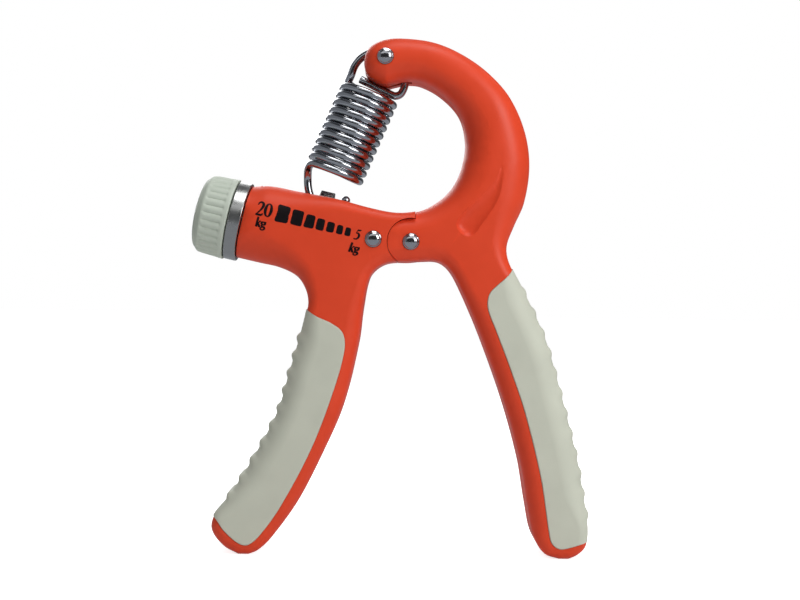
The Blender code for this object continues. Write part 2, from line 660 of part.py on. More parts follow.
def add_hinge(materials):
    base = FRAMES["base"]
    tongue_line = capsule(TONGUE_RIVET, (0.0, 0.0), TONGUE_RADIUS)
    tongue = prism("hinge_tongue", tongue_line, TONGUE_THICKNESS / 2, base, materials["steel"])
    depth = TONGUE_THICKNESS
    combine(tongue, cross_cylinder("tongue_hole", TONGUE_RIVET, SHANK_RADIUS + GAP, -depth, depth, base))
    combine(tongue, cross_cylinder("pivot_hole", (0.0, 0.0), PIVOT_BUSH_RADIUS + GAP, -depth, depth, base))
    add_rivet("tongue_rivet", TONGUE_RIVET, base, materials["chrome"])
    add_rivet("pivot_rivet", (0.0, 0.0), FRAMES["grip_axis"], materials["chrome"])
    half = TONGUE_THICKNESS / 2
    inner = SHANK_RADIUS + GAP
    ring = [(inner, half), (PIVOT_BUSH_RADIUS, half), (PIVOT_BUSH_RADIUS, -half), (inner, -half)]
    bush = turned("pivot_bush", ring, FRAMES["grip_axis"], materials["nylon"])
    bush.rotation_euler = (math.pi / 2, 0.0, 0.0)


def add_collar_and_bush(materials):
    frame = FRAMES["screw_axis"]
    inner = BUSH_RADIUS + GAP
    low, high = GAP, GAP + COLLAR_WIDTH
    rim = COLLAR_RADIUS - GAP
    turned("collar", [(inner, high), (rim, high), (COLLAR_RADIUS, high - GAP), (COLLAR_RADIUS, low + GAP),
                      (rim, low), (inner, low)], frame, materials["brushed"], 2 * SIDES)
    bore = SCREW_RADIUS + GAP
    flange_end = BUSH_FLANGE_START + BUSH_FLANGE_WIDTH
    top = high - GAP
    turned("screw_bush", [
        (bore, top), (BUSH_RADIUS, top), (BUSH_RADIUS, -BUSH_FLANGE_START),
        (BUSH_FLANGE_RADIUS, -BUSH_FLANGE_START), (BUSH_FLANGE_RADIUS, -flange_end),
        (BUSH_RADIUS, -flange_end), (BUSH_RADIUS, -BUSH_DEPTH), (bore, -BUSH_DEPTH)],
        frame, materials["nylon"])
    low, high = -BEARING_START - BEARING_WIDTH, -BEARING_START
    turned("end_bearing", [(bore, high), (BEARING_RADIUS, high), (BEARING_RADIUS, low), (bore, low)],
           frame, materials["nylon"])


def knob_base():
    """The height of the knob's inner face above the arm's end."""
    return COLLAR_WIDTH + 2 * GAP


def fluted_ring(radius, depth, height):
    points = []
    count = FLUTE_POINTS * FLUTES
    for i in range(count):
        angle = 2 * math.pi * i / count
        reach = radius - depth * (0.5 - 0.5 * math.cos(FLUTES * angle))
        points.append((reach * math.cos(angle), reach * math.sin(angle), height))
    return points


def add_knob(materials):
    frame = FRAMES["knob_axis"]
    base = knob_base()
    front = base + KNOB_SIDE
    rim = KNOB_RADIUS - GAP
    band_end = base + KNOB_BAND
    rings = [
        fluted_ring(rim, 0.0, base), fluted_ring(KNOB_RADIUS, 0.0, base + GAP),
        fluted_ring(KNOB_RADIUS, 0.0, band_end), fluted_ring(KNOB_RADIUS - GAP, FLUTE_DEPTH, band_end + GAP),
        fluted_ring(KNOB_FRONT_RADIUS, FLUTE_DEPTH, front)]
    rings += [fluted_ring(KNOB_FRONT_RADIUS * math.cos(a), 0.0, front + KNOB_DOME * math.sin(a))
              for a in np.linspace(0.0, math.pi / 2, DOME_STEPS + 2)[1:-1]]
    knob = loft("knob", rings, frame, materials["knob"])
    pocket = WASHER_WIDTH + 2 * GAP
    combine(knob, axis_cylinder("washer_pocket", WASHER_RADIUS + GAP, base - PAST, base + pocket, frame))
    hex_end = base + pocket + HEX_HEIGHT + 2 * GAP
    combine(knob, axis_cylinder("hex_pocket", HEX_RADIUS + GAP / math.cos(math.pi / 6), base, hex_end, frame, 6))
    add_screw(base + pocket, materials)


def add_screw(head_base, materials):
    """The lead screw with its hexagon head, its thrust washer and its retaining clip."""
    frame = FRAMES["knob_axis"]
    tip = BEARING_START + BEARING_WIDTH - GAP
    screw = axis_cylinder("lead_screw", SCREW_RADIUS, -tip, head_base + 2 * GAP, frame, SIDES, materials["steel"])
    head = axis_cylinder("screw_head", HEX_RADIUS, head_base + GAP, head_base + GAP + HEX_HEIGHT, frame, 6)
    combine(screw, head, "UNION")
    bore = SCREW_RADIUS + GAP
    low = knob_base()
    high = low + WASHER_WIDTH
    turned("thrust_washer", [(bore, high), (WASHER_RADIUS, high), (WASHER_RADIUS, low), (bore, low)],
           frame, materials["brushed"])
    low, high = -CLIP_START - CLIP_WIDTH, -CLIP_START
    turned("retaining_clip", [(bore, high), (CLIP_RADIUS, high), (CLIP_RADIUS, low), (bore, low)],
           frame, materials["steel"])


def add_carriage(materials):
    """The nut, and the strap whose crown the spring's hook passes under."""
    frame = FRAMES["carriage"]
    half = NUT_LENGTH / 2
    nut = box("carriage_nut", (-NUT_HALF, -NUT_HALF, -half), (NUT_HALF, NUT_HALF, half),
              frame, materials["steel"])
    combine(nut, axis_cylinder("nut_bore", SCREW_RADIUS + GAP, -NUT_LENGTH, NUT_LENGTH, frame))
    foot = NUT_HALF - STRAP_FOOT
    width = STRAP_LENGTH / 2
    strap = box("carriage_strap", (foot + GAP, -STRAP_OUTER, -width), (STRAP_TOP, STRAP_OUTER, width),
                frame, materials["brushed"])
    bevel = strap.modifiers.new("bent_corners", "BEVEL")
    bevel.width = STRAP_THICKNESS / 2
    bevel.segments = 2
    bevel.limit_method = "WEIGHT"
    weight_crown_edges(strap)
    combine(strap, box("strap_window", (foot - GAP, -STRAP_INNER, -STRAP_LENGTH),
                       (STRAP_TOP - STRAP_CROWN, STRAP_INNER, STRAP_LENGTH), frame))
    for side in (-1, 1):
        low, high = sorted((side * (STRAP_INNER - GAP), side * (STRAP_OUTER + GAP)))
        corners = (foot, low, -width - GAP), (NUT_HALF * 2, high, width + GAP)
        combine(nut, box(f"strap_socket_{side}", *corners, frame))


def weight_crown_edges(strap):
    """Only the two long edges of the crown are bent round."""
    mesh = strap.data
    weights = mesh.attributes.new("bevel_weight_edge", "FLOAT", "EDGE")
    for edge in mesh.edges:
        a, b = (mesh.vertices[i].co for i in edge.vertices)
        along = abs(a.z - b.z) > STRAP_LENGTH / 2
        if along and min(a.x, b.x) > STRAP_TOP / 2:
            weights.data[edge.index].value = 1.0


def quarter_turn(start, end, first):
    """A quarter of an ellipse from start to end, whose first stretch runs along X or along Z."""
    points = []
    for i in range(1, BEND_POINTS + 1):
        angle = math.pi / 2 * i / BEND_POINTS
        late, early = math.sin(angle), 1 - math.cos(angle)
        share_x, share_z = (late, early) if first == "X" else (early, late)
        points.append(start + Vector(((end.x - start.x) * share_x, 0.0, (end.z - start.z) * share_z)))
    return points


def spring_path():
    """The wire's centre line: tail, upper loop, coil and lower hook, in one unbroken run."""
    down = Vector((-math.sin(COIL_TILT), 0.0, -math.cos(COIL_TILT)))
    left = Vector((-math.cos(COIL_TILT), 0.0, math.sin(COIL_TILT)))
    back = Vector((0.0, 1.0, 0.0))
    top = Vector((COIL_TOP[0], 0.0, COIL_TOP[1]))

    def coil(turn):
        angle = 2 * math.pi * turn
        return top + down * COIL_PITCH * turn + (left * math.cos(angle) + back * math.sin(angle)) * COIL_RADIUS

    def coil_heading(turn):
        return (coil(turn + 0.001) - coil(turn - 0.001)).normalized()

    centre = loop_centre()
    count = round(LOOP_POINTS * (LOOP_FIRST_ANGLE - LOOP_LAST_ANGLE) / (2 * math.pi))
    loop = [Vector((x, 0.0, z)) for x, z in arc(centre, LOOP_RADIUS, LOOP_LAST_ANGLE, LOOP_FIRST_ANGLE, count)]
    loop_heading = Vector((-math.sin(LOOP_FIRST_ANGLE), 0.0, math.cos(LOOP_FIRST_ANGLE)))
    first, last = COIL_LEAVE, COIL_TURNS - COIL_LEAVE
    upper = interpolate_bezier(
        loop[-1], loop[-1] + loop_heading * BEND_REACH,
        coil(first) - coil_heading(first) * BEND_REACH, coil(first), BEND_POINTS + 1)
    steps = round((last - first) * TURN_POINTS)
    winding = [coil(first + (last - first) * i / steps) for i in range(steps + 1)]
    hook_left = Vector((HOOK_LEFT[0], 0.0, HOOK_LEFT[1]))
    hook_bottom = Vector((HOOK_BOTTOM[0], 0.0, HOOK_BOTTOM[1]))
    hook_tip = Vector((HOOK_TIP[0], 0.0, HOOK_TIP[1]))
    rise = Vector((0.0, 0.0, BEND_REACH / 2))
    lower = interpolate_bezier(
        coil(last), coil(last) + coil_heading(last) * BEND_REACH, hook_left + rise, hook_left, BEND_POINTS + 1)
    hook = quarter_turn(hook_left, hook_bottom, "Z") + quarter_turn(hook_bottom, hook_tip, "X")
    return tail_points(loop[0])[:-1] + loop + upper[1:-1] + winding + lower[1:] + hook


def tail_points(loop_start):
    """The wire's upper end: it curls off the loop and lies across the top of the coil."""
    heading = LOOP_LAST_ANGLE - math.pi / 2
    across = Vector((math.sin(heading), 0.0, -math.cos(heading)))
    turn_centre = loop_start + across * CURL_RADIUS
    end_side = TAIL_HEADING - 2 * math.pi + math.pi / 2
    start_side = heading + math.pi / 2
    curl = [Vector((x, 0.0, z)) for x, z in
            arc((turn_centre.x, turn_centre.z), CURL_RADIUS, start_side, end_side, BEND_POINTS)]
    straight = Vector((math.cos(TAIL_HEADING), 0.0, math.sin(TAIL_HEADING)))
    run = [curl[-1] + straight * TAIL_LENGTH * i / 3 for i in (3, 2, 1)]
    return run + curl[::-1]


def least_gap(path, radius):
    """The smallest space between two stretches of the wire that aren't neighbours along it."""
    samples, places, travelled = [], [], 0.0
    for a, b in zip(path, path[1:]):
        length = (b - a).length
        pieces = max(1, math.ceil(length / SAMPLE_STEP))
        for i in range(pieces):
            samples.append(a.lerp(b, i / pieces))
            places.append(travelled + length * i / pieces)
        travelled += length
    points = np.array([tuple(p) for p in samples])
    along = np.array(places)
    apart = np.linalg.norm(points[:, None] - points[None, :], axis=2)
    apart[np.abs(along[:, None] - along[None, :]) < 6 * radius] = np.inf
    return float(apart.min()) - 2 * radius


def add_spring(materials):
    path = spring_path()
    gap = least_gap(path, WIRE_RADIUS)
    found, wanted = gap * 1000, LEAST_WIRE_GAP * 1000
    print(f"least gap of the spring's wire to itself: {found:.2f} mm, wanted over {wanted:.1f} mm")
    curve = bpy.data.curves.new("tension_spring", "CURVE")
    curve.dimensions = "3D"
    curve.bevel_depth = WIRE_RADIUS
    curve.bevel_resolution = 1
    curve.use_fill_caps = True
    spline = curve.splines.new("POLY")
    spline.points.add(len(path) - 1)
    pin = Vector((SPRING_PIN[0], 0.0, SPRING_PIN[1]))
    for point, place in zip(spline.points, path):
        point.co = (*(place - pin), 1.0)
    spring = bpy.data.objects.new("tension_spring", curve)
    spring.parent = FRAMES["spring_axis"]
    curve.materials.append(materials["chrome"])
    PARTS.objects.link(spring)


def add_frames():
    """Empties that the pieces hang on, one on each joint's axis."""
    out = -(math.pi / 2 - ARM_TILT)
    base = empty("base", (HINGE_X, 0.0, TIP_DEPTH))
    grip = empty("grip_axis", (HINGE_X, 0.0, TIP_DEPTH))
    end = (ARM_END[0], 0.0, ARM_END[1])
    rest = arm_point(CARRIAGE_REST, 0.0)
    FRAMES["base"] = base
    FRAMES["grip_left"] = base
    FRAMES["grip_axis"] = grip
    FRAMES["grip_right"] = grip
    FRAMES["screw_axis"] = empty("screw_axis", end, base, out)
    FRAMES["knob_axis"] = empty("knob_axis", end, base, out)
    FRAMES["carriage"] = empty("carriage_axis", (rest[0], 0.0, rest[1]), base, out)
    FRAMES["spring_axis"] = empty("spring_axis", (SPRING_PIN[0], 0.0, SPRING_PIN[1]), grip)


def clear_scene():
    for obj in list(bpy.data.objects):
        bpy.data.objects.remove(obj, do_unlink=True)


def new_collection(name):
    collection = bpy.data.collections.new(name)
    bpy.context.scene.collection.children.link(collection)
    return collection


clear_scene()
PARTS = new_collection("hand_gripper")
CUTTERS = new_collection("cutters")
FRAMES = {}


def main():
    materials = make_materials()
    add_frames()
    add_fixed_lever(materials)
    add_moving_lever(materials)
    add_hinge(materials)
    add_collar_and_bush(materials)
    add_knob(materials)
    add_carriage(materials)
    add_rivet("spring_rivet", (0.0, 0.0), FRAMES["spring_axis"], materials["chrome"])
    add_spring(materials)


main()
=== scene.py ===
# %% [markdown]
# # A hand gripper, dressed
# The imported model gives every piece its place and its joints. This lesson puts the real surfaces on it: the
# moulded levers, the ribbed rubber pads, the wound spring, the fluted knob and the printed scale. The
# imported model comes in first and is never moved, so each new piece is measured from it.

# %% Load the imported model
import json
import math

import bmesh
import bpy
import numpy as np
from mathutils import Matrix, Vector
from mathutils.geometry import delaunay_2d_cdt, interpolate_bezier

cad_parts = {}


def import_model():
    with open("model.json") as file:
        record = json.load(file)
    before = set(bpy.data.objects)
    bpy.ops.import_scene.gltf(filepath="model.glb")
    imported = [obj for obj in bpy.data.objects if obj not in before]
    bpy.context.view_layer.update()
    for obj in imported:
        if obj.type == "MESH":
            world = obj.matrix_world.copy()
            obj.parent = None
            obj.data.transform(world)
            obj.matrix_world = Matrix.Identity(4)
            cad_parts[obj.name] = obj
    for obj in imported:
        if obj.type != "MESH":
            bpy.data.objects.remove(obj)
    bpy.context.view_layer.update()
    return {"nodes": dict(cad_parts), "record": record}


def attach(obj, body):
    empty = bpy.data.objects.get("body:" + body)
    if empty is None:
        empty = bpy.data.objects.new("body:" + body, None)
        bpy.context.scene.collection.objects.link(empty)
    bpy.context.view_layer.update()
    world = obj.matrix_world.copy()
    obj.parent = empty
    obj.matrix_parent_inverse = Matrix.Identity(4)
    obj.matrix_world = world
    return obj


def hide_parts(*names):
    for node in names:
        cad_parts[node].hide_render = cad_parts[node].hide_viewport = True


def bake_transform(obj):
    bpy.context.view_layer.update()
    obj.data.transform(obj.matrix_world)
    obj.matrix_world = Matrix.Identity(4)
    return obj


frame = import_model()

# %% [markdown]
# ## Where things are
# Drawings of a gripper start at its hinge pin, so outlines here are points (x, z) in millimetres from it.
# The pin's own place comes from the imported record, which keeps the new pieces on the old joints.

# %% The hinge, and heights above the floor
MM = 0.001
JOINTS = {joint["name"]: joint for joint in frame["record"]["behaviour"]["joints"]}
HINGE = Vector(JOINTS["grip_hinge"]["pos_m"])
FLOOR = -HINGE.z / MM


def above_floor(x, height):
    """A point given by its height above the floor."""
    return (x, FLOOR + height)


print(f"the hinge pin stands {-FLOOR:.1f} mm above the floor")

# %% [markdown]
# ## The outlines
# Each lever is one flat shape seen from the front. It could be drawn by hand with a curve in the viewport,
# but a list of knots can be read, measured and changed, and a smooth line runs through them later. The two
# levers share their edges at the hinge, so that the top and bottom lines run on from one to the other when
# it is open.

# %% The shared edges at the hinge, and the top of the arm
HINGE_TOP = [(-12.4, 10.2), (-4.8, 8.9), (1.4, 9.4), (5.6, 11.0)]
HINGE_BOTTOM = [(8.6, -5.8), (3.5, -5.6), (-0.5, -6.0), (-6.1, -6.2), (-9.8, -7.8)]
ARM_TOP = [(-44.0, 17.1), (-34.6, 15.2), (-23.4, 13.0)]
print("knots at the hinge:", len(HINGE_TOP + HINGE_BOTTOM))

# %% The left handle, down its inner side and up its outer one
LEFT_INNER = [
    (-12.5, -11.1), (-14.2, -20.0), (-15.5, -31.0), (-20.0, -50.5), above_floor(-26.2, 30.0),
    above_floor(-33.2, 16.0), above_floor(-41.0, 5.0), above_floor(-45.0, 1.2), above_floor(-47.8, 0.0)]
LEFT_OUTER = [
    above_floor(-51.0, 0.0), above_floor(-55.5, 2.5), above_floor(-59.1, 7.4), above_floor(-58.3, 11.9),
    above_floor(-54.3, 16.8), above_floor(-47.7, 27.5), (-40.0, -53.0), (-36.5, -41.0), (-33.5, -30.0),
    (-31.6, -22.5), (-30.9, -19.0), (-31.8, -14.8), (-34.7, -10.8), (-40.5, -8.1), (-46.6, -6.8)]
print("knots round the left handle:", len(LEFT_INNER + LEFT_OUTER))

# %% The bow, up its inner side and back down its outer one
BOW_INNER = [
    (10.6, 14.8), (13.7, 19.2), (15.8, 25.1), (16.4, 32.0), (14.3, 39.7), (8.8, 45.7), (2.4, 49.2),
    (-2.3, 49.6), (-5.4, 48.9), (-9.0, 48.2)]
BOW_OUTER = [
    (-13.6, 50.6), (-15.1, 54.5), (-13.8, 59.0), (-9.0, 61.7), (-2.5, 62.2), (6.6, 61.0), (15.2, 57.4),
    (23.1, 51.9), (29.8, 44.6), (34.6, 34.5), (36.2, 24.0), (34.7, 12.9), (31.4, 5.1), (29.3, -0.8),
    (30.0, -5.8)]
print("knots round the bow:", len(BOW_INNER + BOW_OUTER))

# %% The right handle, down its outer side and up its inner one
RIGHT_OUTER = [
    (34.0, -13.3), (40.9, -27.7), (44.6, -39.1), above_floor(51.4, 31.2), above_floor(53.7, 19.0),
    above_floor(54.8, 9.5), above_floor(54.6, 4.1), above_floor(52.1, 1.3), above_floor(49.3, 0.0)]
RIGHT_INNER = [
    above_floor(46.3, 0.0), above_floor(42.0, 1.5), above_floor(38.8, 6.4), above_floor(36.8, 15.4),
    above_floor(34.3, 29.1), (29.2, -48.7), (22.2, -29.7), (15.8, -14.9), (12.2, -8.5)]
print("knots round the right handle:", len(RIGHT_OUTER + RIGHT_INNER))

# %% The scoop in the bow, and the borders of the two pads
SCOOP = [
    (27.2, 24.5), (25.6, 19.5), (22.6, 15.8), (16.0, 9.2), (13.6, 5.6), (15.5, 2.4), (18.4, 2.1),
    (21.0, 5.2), (25.8, 12.6), (27.5, 20.0)]
LEFT_PAD = [
    (-38.0, -16.5), (-31.8, -20.7), (-28.2, -23.0), (-23.3, -25.2), (-20.1, -28.0), (-19.6, -33.4),
    (-23.0, -46.4), above_floor(-29.2, 32.3), above_floor(-38.1, 15.0), above_floor(-44.0, 6.5),
    above_floor(-47.6, 3.3), above_floor(-50.5, 3.6), above_floor(-55.1, 7.4), above_floor(-58.3, 11.5),
    above_floor(-68.0, 16.5)]
RIGHT_PAD = [
    above_floor(62.0, 7.5), above_floor(54.6, 5.5), above_floor(49.9, 4.0), above_floor(46.4, 3.4),
    above_floor(44.0, 5.0), above_floor(43.1, 7.9), above_floor(40.3, 24.9), (35.2, -51.0), (30.7, -38.2),
    (26.0, -26.2), (23.8, -20.8), (23.4, -17.8), (24.2, -15.0), (26.4, -12.7), (29.8, -9.6), (32.2, -6.0),
    (35.0, -1.5)]
print("knots round the pads:", len(LEFT_PAD), "and", len(RIGHT_PAD))

# %% [markdown]
# ## The adjuster's own axis
# The knob, collar and screw turn round one line that comes out of the arm's end and tilts up by 12.4
# degrees. Each piece could be turned into place by its own angles. One matrix for the line is safer: its Z
# points out through the knob and its X points up from the screw, and every piece of the adjuster is drawn
# in it.

# %% The adjuster's frame
ARM_END = (-51.2, 5.5)
ARM_TILT = math.radians(12.4)
ARM_HALF_HEIGHT = 11.05
SCREW_LINE = (
    Matrix.Translation(HINGE + Vector((ARM_END[0], 0.0, ARM_END[1])) * MM)
    @ Matrix.Rotation(ARM_TILT - math.pi / 2, 4, "Y"))


def arm_point(along, above):
    """The point this far down the screw's line from the arm's end, and this far above it."""
    return (ARM_END[0] + along * math.cos(ARM_TILT) + above * math.sin(ARM_TILT),
            ARM_END[1] - along * math.sin(ARM_TILT) + above * math.cos(ARM_TILT))


def arm_along(points):
    """How far down the screw's line points lie."""
    step = np.asarray(points) - ARM_END
    return step[:, 0] * math.cos(ARM_TILT) - step[:, 1] * math.sin(ARM_TILT)


print("the knob's axis points along", [round(v, 3) for v in SCREW_LINE.col[2][:3]])

# %% [markdown]
# ## Smooth lines through the knots
# A draughtsman would bend a spline through the knots. Short Bezier spans do the same: each span leaves its
# knot along the line between the neighbours, and is cut into steps that get shorter where it bends.

# %% Smooth lines
LINE_STEP = 1.0
TURN_STEP = math.radians(4.0)


def smooth(points):
    """Points on a smooth open line through the knots."""
    knots = [Vector(p) for p in points]
    guides = [2 * knots[0] - knots[1]] + knots + [2 * knots[-1] - knots[-2]]
    headings = [(guides[i + 2] - guides[i]).normalized() for i in range(len(knots))]
    line = [knots[0]]
    for i in range(len(knots) - 1):
        near, far = knots[i], knots[i + 1]
        span = (far - near).length
        turn = headings[i].angle(headings[i + 1])
        steps = max(1, round(span / LINE_STEP), round(turn / TURN_STEP))
        ends = near, near + headings[i] * span / 3, far - headings[i + 1] * span / 3, far
        flat = [Vector((*p, 0.0)) for p in ends]
        line += [p.to_2d() for p in interpolate_bezier(*flat, steps + 1)[1:]]
    return [tuple(p) for p in line]


print("the left handle's outer edge is drawn with", len(smooth(LEFT_OUTER)), "points")

# %% The two closed outlines
ARM_STRAIGHT = 1.4
ARM_OVERRUN = 6.0


def left_outline():
    """The fixed lever, run on past the arm's end, which is cut square later."""
    top = [arm_point(-ARM_OVERRUN, ARM_HALF_HEIGHT), arm_point(-ARM_STRAIGHT, ARM_HALF_HEIGHT)]
    bottom = [arm_point(-ARM_STRAIGHT, -ARM_HALF_HEIGHT), arm_point(-ARM_OVERRUN, -ARM_HALF_HEIGHT)]
    upper = smooth(top + ARM_TOP + HINGE_TOP)
    return upper + smooth(HINGE_BOTTOM + LEFT_INNER) + smooth(LEFT_OUTER + bottom)


def right_outline():
    """The moving lever, from the hinge up round the bow and down the handle."""
    return smooth(HINGE_TOP + BOW_INNER + BOW_OUTER + RIGHT_OUTER) + smooth(RIGHT_INNER + HINGE_BOTTOM)


LEFT_LINE = left_outline()
RIGHT_LINE = right_outline()
print(len(LEFT_LINE), "points round the fixed lever,", len(RIGHT_LINE), "round the moving one")

# %% [markdown]
# ## Distances to an outline
# The rounding of a moulded edge depends only on how far a point is from the outline. The outline could be
# offset many times instead, but offsets tangle where a shape is narrow. Arrays measure thousands of points
# at once.

# %% How far points are from a line
CHUNK = 400


def nearest_distance(line, points):
    """How far each point is from a closed line, worked out a chunk of points at a time."""
    start = np.asarray(line, float)
    step = np.roll(start, -1, axis=0) - start
    found = []
    for some in np.array_split(np.asarray(points, float), max(1, len(points) // CHUNK)):
        away = some[:, None] - start[None]
        share = np.clip((away * step).sum(2) / (step * step).sum(1), 0.0, 1.0)
        found.append(np.linalg.norm(away - share[..., None] * step, axis=2).min(axis=1))
    return np.concatenate(found)


def open_distance(line, points):
    """How far each point is from the nearest knot of an open line drawn in short steps."""
    away = np.asarray(points, float)[:, None] - np.asarray(line, float)[None]
    return np.linalg.norm(away, axis=2).min(axis=1)


print(f"the moving lever's edge passes {nearest_distance(RIGHT_LINE, [(0.0, 0.0)])[0]:.1f} mm from the pin")

# %% What is inside a line, and the way in from its edge


def is_inside(line, points):
    """Whether each point is inside a closed line, by counting crossings to its right."""
    a = np.asarray(line, float)
    b = np.roll(a, -1, axis=0)
    x, z = np.asarray(points, float).T
    crossings = np.zeros(len(x), int)
    for (ax, az), (bx, bz) in zip(a, b):
        spans = (az > z) != (bz > z)
        if az != bz:
            crossings += spans & (x < (bx - ax) * (z - az) / (bz - az) + ax)
    return crossings % 2 == 1


def inwards(line):
    """At each point of a clockwise closed line, the step that moves both of its edges in by one."""
    points = np.asarray(line, float)
    ahead = np.roll(points, -1, axis=0) - points
    ahead /= np.linalg.norm(ahead, axis=1)[:, None]
    right = np.stack([ahead[:, 1], -ahead[:, 0]], axis=1)
    before = np.roll(right, 1, axis=0)
    return (right + before) / (1 + np.sum(right * before, axis=1))[:, None]


def moved_in(line, distance):
    """A clockwise closed line moved in by a distance, or by one for each point."""
    return np.asarray(line, float) + inwards(line) * np.reshape(distance, (-1, 1))


def ease(value, low, high):
    """A soft step from 0 at low to 1 at high."""
    t = np.clip((value - low) / (high - low), 0.0, 1.0)
    return t * t * (3 - 2 * t)


print("the pin is inside the fixed lever's outline:", bool(is_inside(LEFT_LINE, [(0.0, 0.0)])[0]))

# %% [markdown]
# ## Bench helpers
# A few small tools do what a workshop's machines would: extrude an outline, turn a profile on a lathe, and
# cut one closed form out of another. Modifiers on drawn curves could do it too, but meshes built point by
# point say exactly where each edge lies. The manifold solver does the cutting, since it keeps a closed form
# closed. Each machine is tried on a small piece, which is then thrown away.

# %% Places, and objects from finished shapes
HALF_THICKNESS = 11.0
PAST = 22.0


def world(x, y, z):
    """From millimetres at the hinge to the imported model's metres."""
    return (HINGE.x + x * MM, HINGE.y + y * MM, HINGE.z + z * MM)


def across(centre):
    """A place at a point of the outline whose Z runs from front to back."""
    return Matrix.Translation(world(centre[0], 0.0, centre[1])) @ Matrix.Rotation(-math.pi / 2, 4, "X")


def from_bmesh(name, shape, place=None):
    """An object from a finished shape, in the place given or in the world's own axes."""
    bmesh.ops.recalc_face_normals(shape, faces=shape.faces)
    mesh = bpy.data.meshes.new(name)
    shape.to_mesh(mesh)
    shape.free()
    piece = bpy.data.objects.new(name, mesh)
    bpy.context.scene.collection.objects.link(piece)
    if place is not None:
        piece.matrix_world = place
    return piece


print("tools reach", PAST, "mm each way, past the", 2 * HALF_THICKNESS, "mm of the levers")

# %% Loft and extrude


def loft(name, rings, place=None, closed=False):
    """A skin over rings of equal count, with a flat face on each end unless the rings join up."""
    shape = bmesh.new()
    loops = [[shape.verts.new(p) for p in ring] for ring in rings]
    pairs = list(zip(loops, loops[1:] + loops[:1])) if closed else list(zip(loops, loops[1:]))
    for near, far in pairs:
        for i in range(len(near)):
            j = (i + 1) % len(near)
            shape.faces.new((near[i], near[j], far[j], far[i]))
    if not closed:
        shape.faces.new(loops[0])
        shape.faces.new(loops[-1][::-1])
    return from_bmesh(name, shape, place)


def extruded(name, outline, front, back):
    """A flat outline given thickness from one depth to another."""
    return loft(name, [[world(x, y, z) for x, z in outline] for y in (front, back)])


def block(name, low, high, place):
    """A box between two corners in millimetres, in the axes of its place."""
    shape = bmesh.new()
    low, high = Vector(low) * MM, Vector(high) * MM
    bmesh.ops.create_cube(
        shape, size=1.0, matrix=Matrix.Translation((low + high) / 2) @ Matrix.Diagonal((*(high - low), 1.0)))
    return from_bmesh(name, shape, place)


trial = extruded("trial_tile", [(0.0, 0.0), (1.0, 0.0), (0.0, 1.0)], 0.0, 1.0)
print("a triangle made thick has", len(trial.data.polygons), "faces")
bpy.data.meshes.remove(trial.data)

# %% Turn on the lathe
LATHE_SIDES = 96
FINE_SIDES = 160
SMALL_SIDES = 64


def turned(name, profile, place, sides=LATHE_SIDES):
    """A profile of (radius, height) in millimetres, turned round the Z of its place."""
    shape = bmesh.new()
    rings = []
    for radius, height in profile:
        count = sides if radius > 0 else 1
        angles = [2 * math.pi * k / sides for k in range(count)]
        spots = [(radius * MM * math.cos(a), radius * MM * math.sin(a), height * MM) for a in angles]
        rings.append([shape.verts.new(spot) for spot in spots])
    pairs = list(zip(rings, rings[1:]))
    if min(radius for radius, height in profile) > 0:
        pairs.append((rings[-1], rings[0]))
    for near, far in pairs:
        for k in range(sides):
            m = (k + 1) % sides
            corners = (near[k % len(near)], near[m % len(near)], far[m % len(far)], far[k % len(far)])
            corners = list(dict.fromkeys(corners))
            if len(corners) > 2:
                shape.faces.new(corners)
    return from_bmesh(name, shape, place)


def bar(name, radius, high, low, place, sides=LATHE_SIDES):
    """A plain round bar between two heights of its place."""
    return turned(name, [(0.0, high), (radius, high), (radius, low), (0.0, low)], place, sides)


trial = bar("trial_bar", 1.0, 1.0, 0.0, SCREW_LINE)
print("a turned bar has", len(trial.data.polygons), "faces")
bpy.data.meshes.remove(trial.data)

# %% Cut, copy and shade
SHARP_ANGLE = 32.0
LARGE_FACES_LEAD = 60


def apply_modifiers(piece):
    """Keep a piece's shape as its modifiers leave it, and take them off."""
    bpy.context.view_layer.update()
    made = bpy.data.meshes.new_from_object(piece.evaluated_get(bpy.context.evaluated_depsgraph_get()))
    piece.modifiers.clear()
    piece.data = made


def carve(piece, cutters, operation="DIFFERENCE"):
    """Cut forms out of a piece, or join them on, and throw the tools away."""
    for cutter in cutters:
        step = piece.modifiers.new(cutter.name, "BOOLEAN")
        step.operation = operation
        step.solver = "MANIFOLD"
        step.object = cutter
    apply_modifiers(piece)
    for cutter in cutters:
        bpy.data.objects.remove(cutter, do_unlink=True)
    if not piece.data.polygons:
        raise RuntimeError(f"{piece.name} was cut away")
    return piece


def copy_of(tool):
    """A tool to use up, so that the first one can be used again."""
    twin = bpy.data.objects.new(tool.name, tool.data.copy())
    bpy.context.scene.collection.objects.link(twin)
    return twin


def soften(piece, angle=SHARP_ANGLE):
    """Smooth shading with crisp cut edges, led by the large faces."""
    piece.data.shade_smooth()
    piece.data.set_sharp_from_angle(angle=math.radians(angle))
    lead = piece.modifiers.new("even_light", "WEIGHTED_NORMAL")
    lead.keep_sharp = True
    lead.weight = LARGE_FACES_LEAD
    return piece


trial = block("trial_block", (-2.0, -2.0, 0.0), (2.0, 2.0, 2.0), SCREW_LINE)
carve(trial, [bar("trial_bore", 1.0, 3.0, -1.0, SCREW_LINE)])
print("a block with a bore has", len(trial.data.vertices), "corners")
bpy.data.meshes.remove(trial.data)

# %% [markdown]
# ## Shared effects
# Real plastic has a fine moulded skin, slight unevenness in its colour, edges rubbed by hands and a little
# dust on whatever faces up. A painted picture could carry all this, but it would blur close up and fit only
# one shape. So each effect is a pattern, made once as a node group with its own inputs, and every finish
# places it with its own numbers. The groups give only masks and values, so the shader stays in the finish.

# %% A small helper for nodes


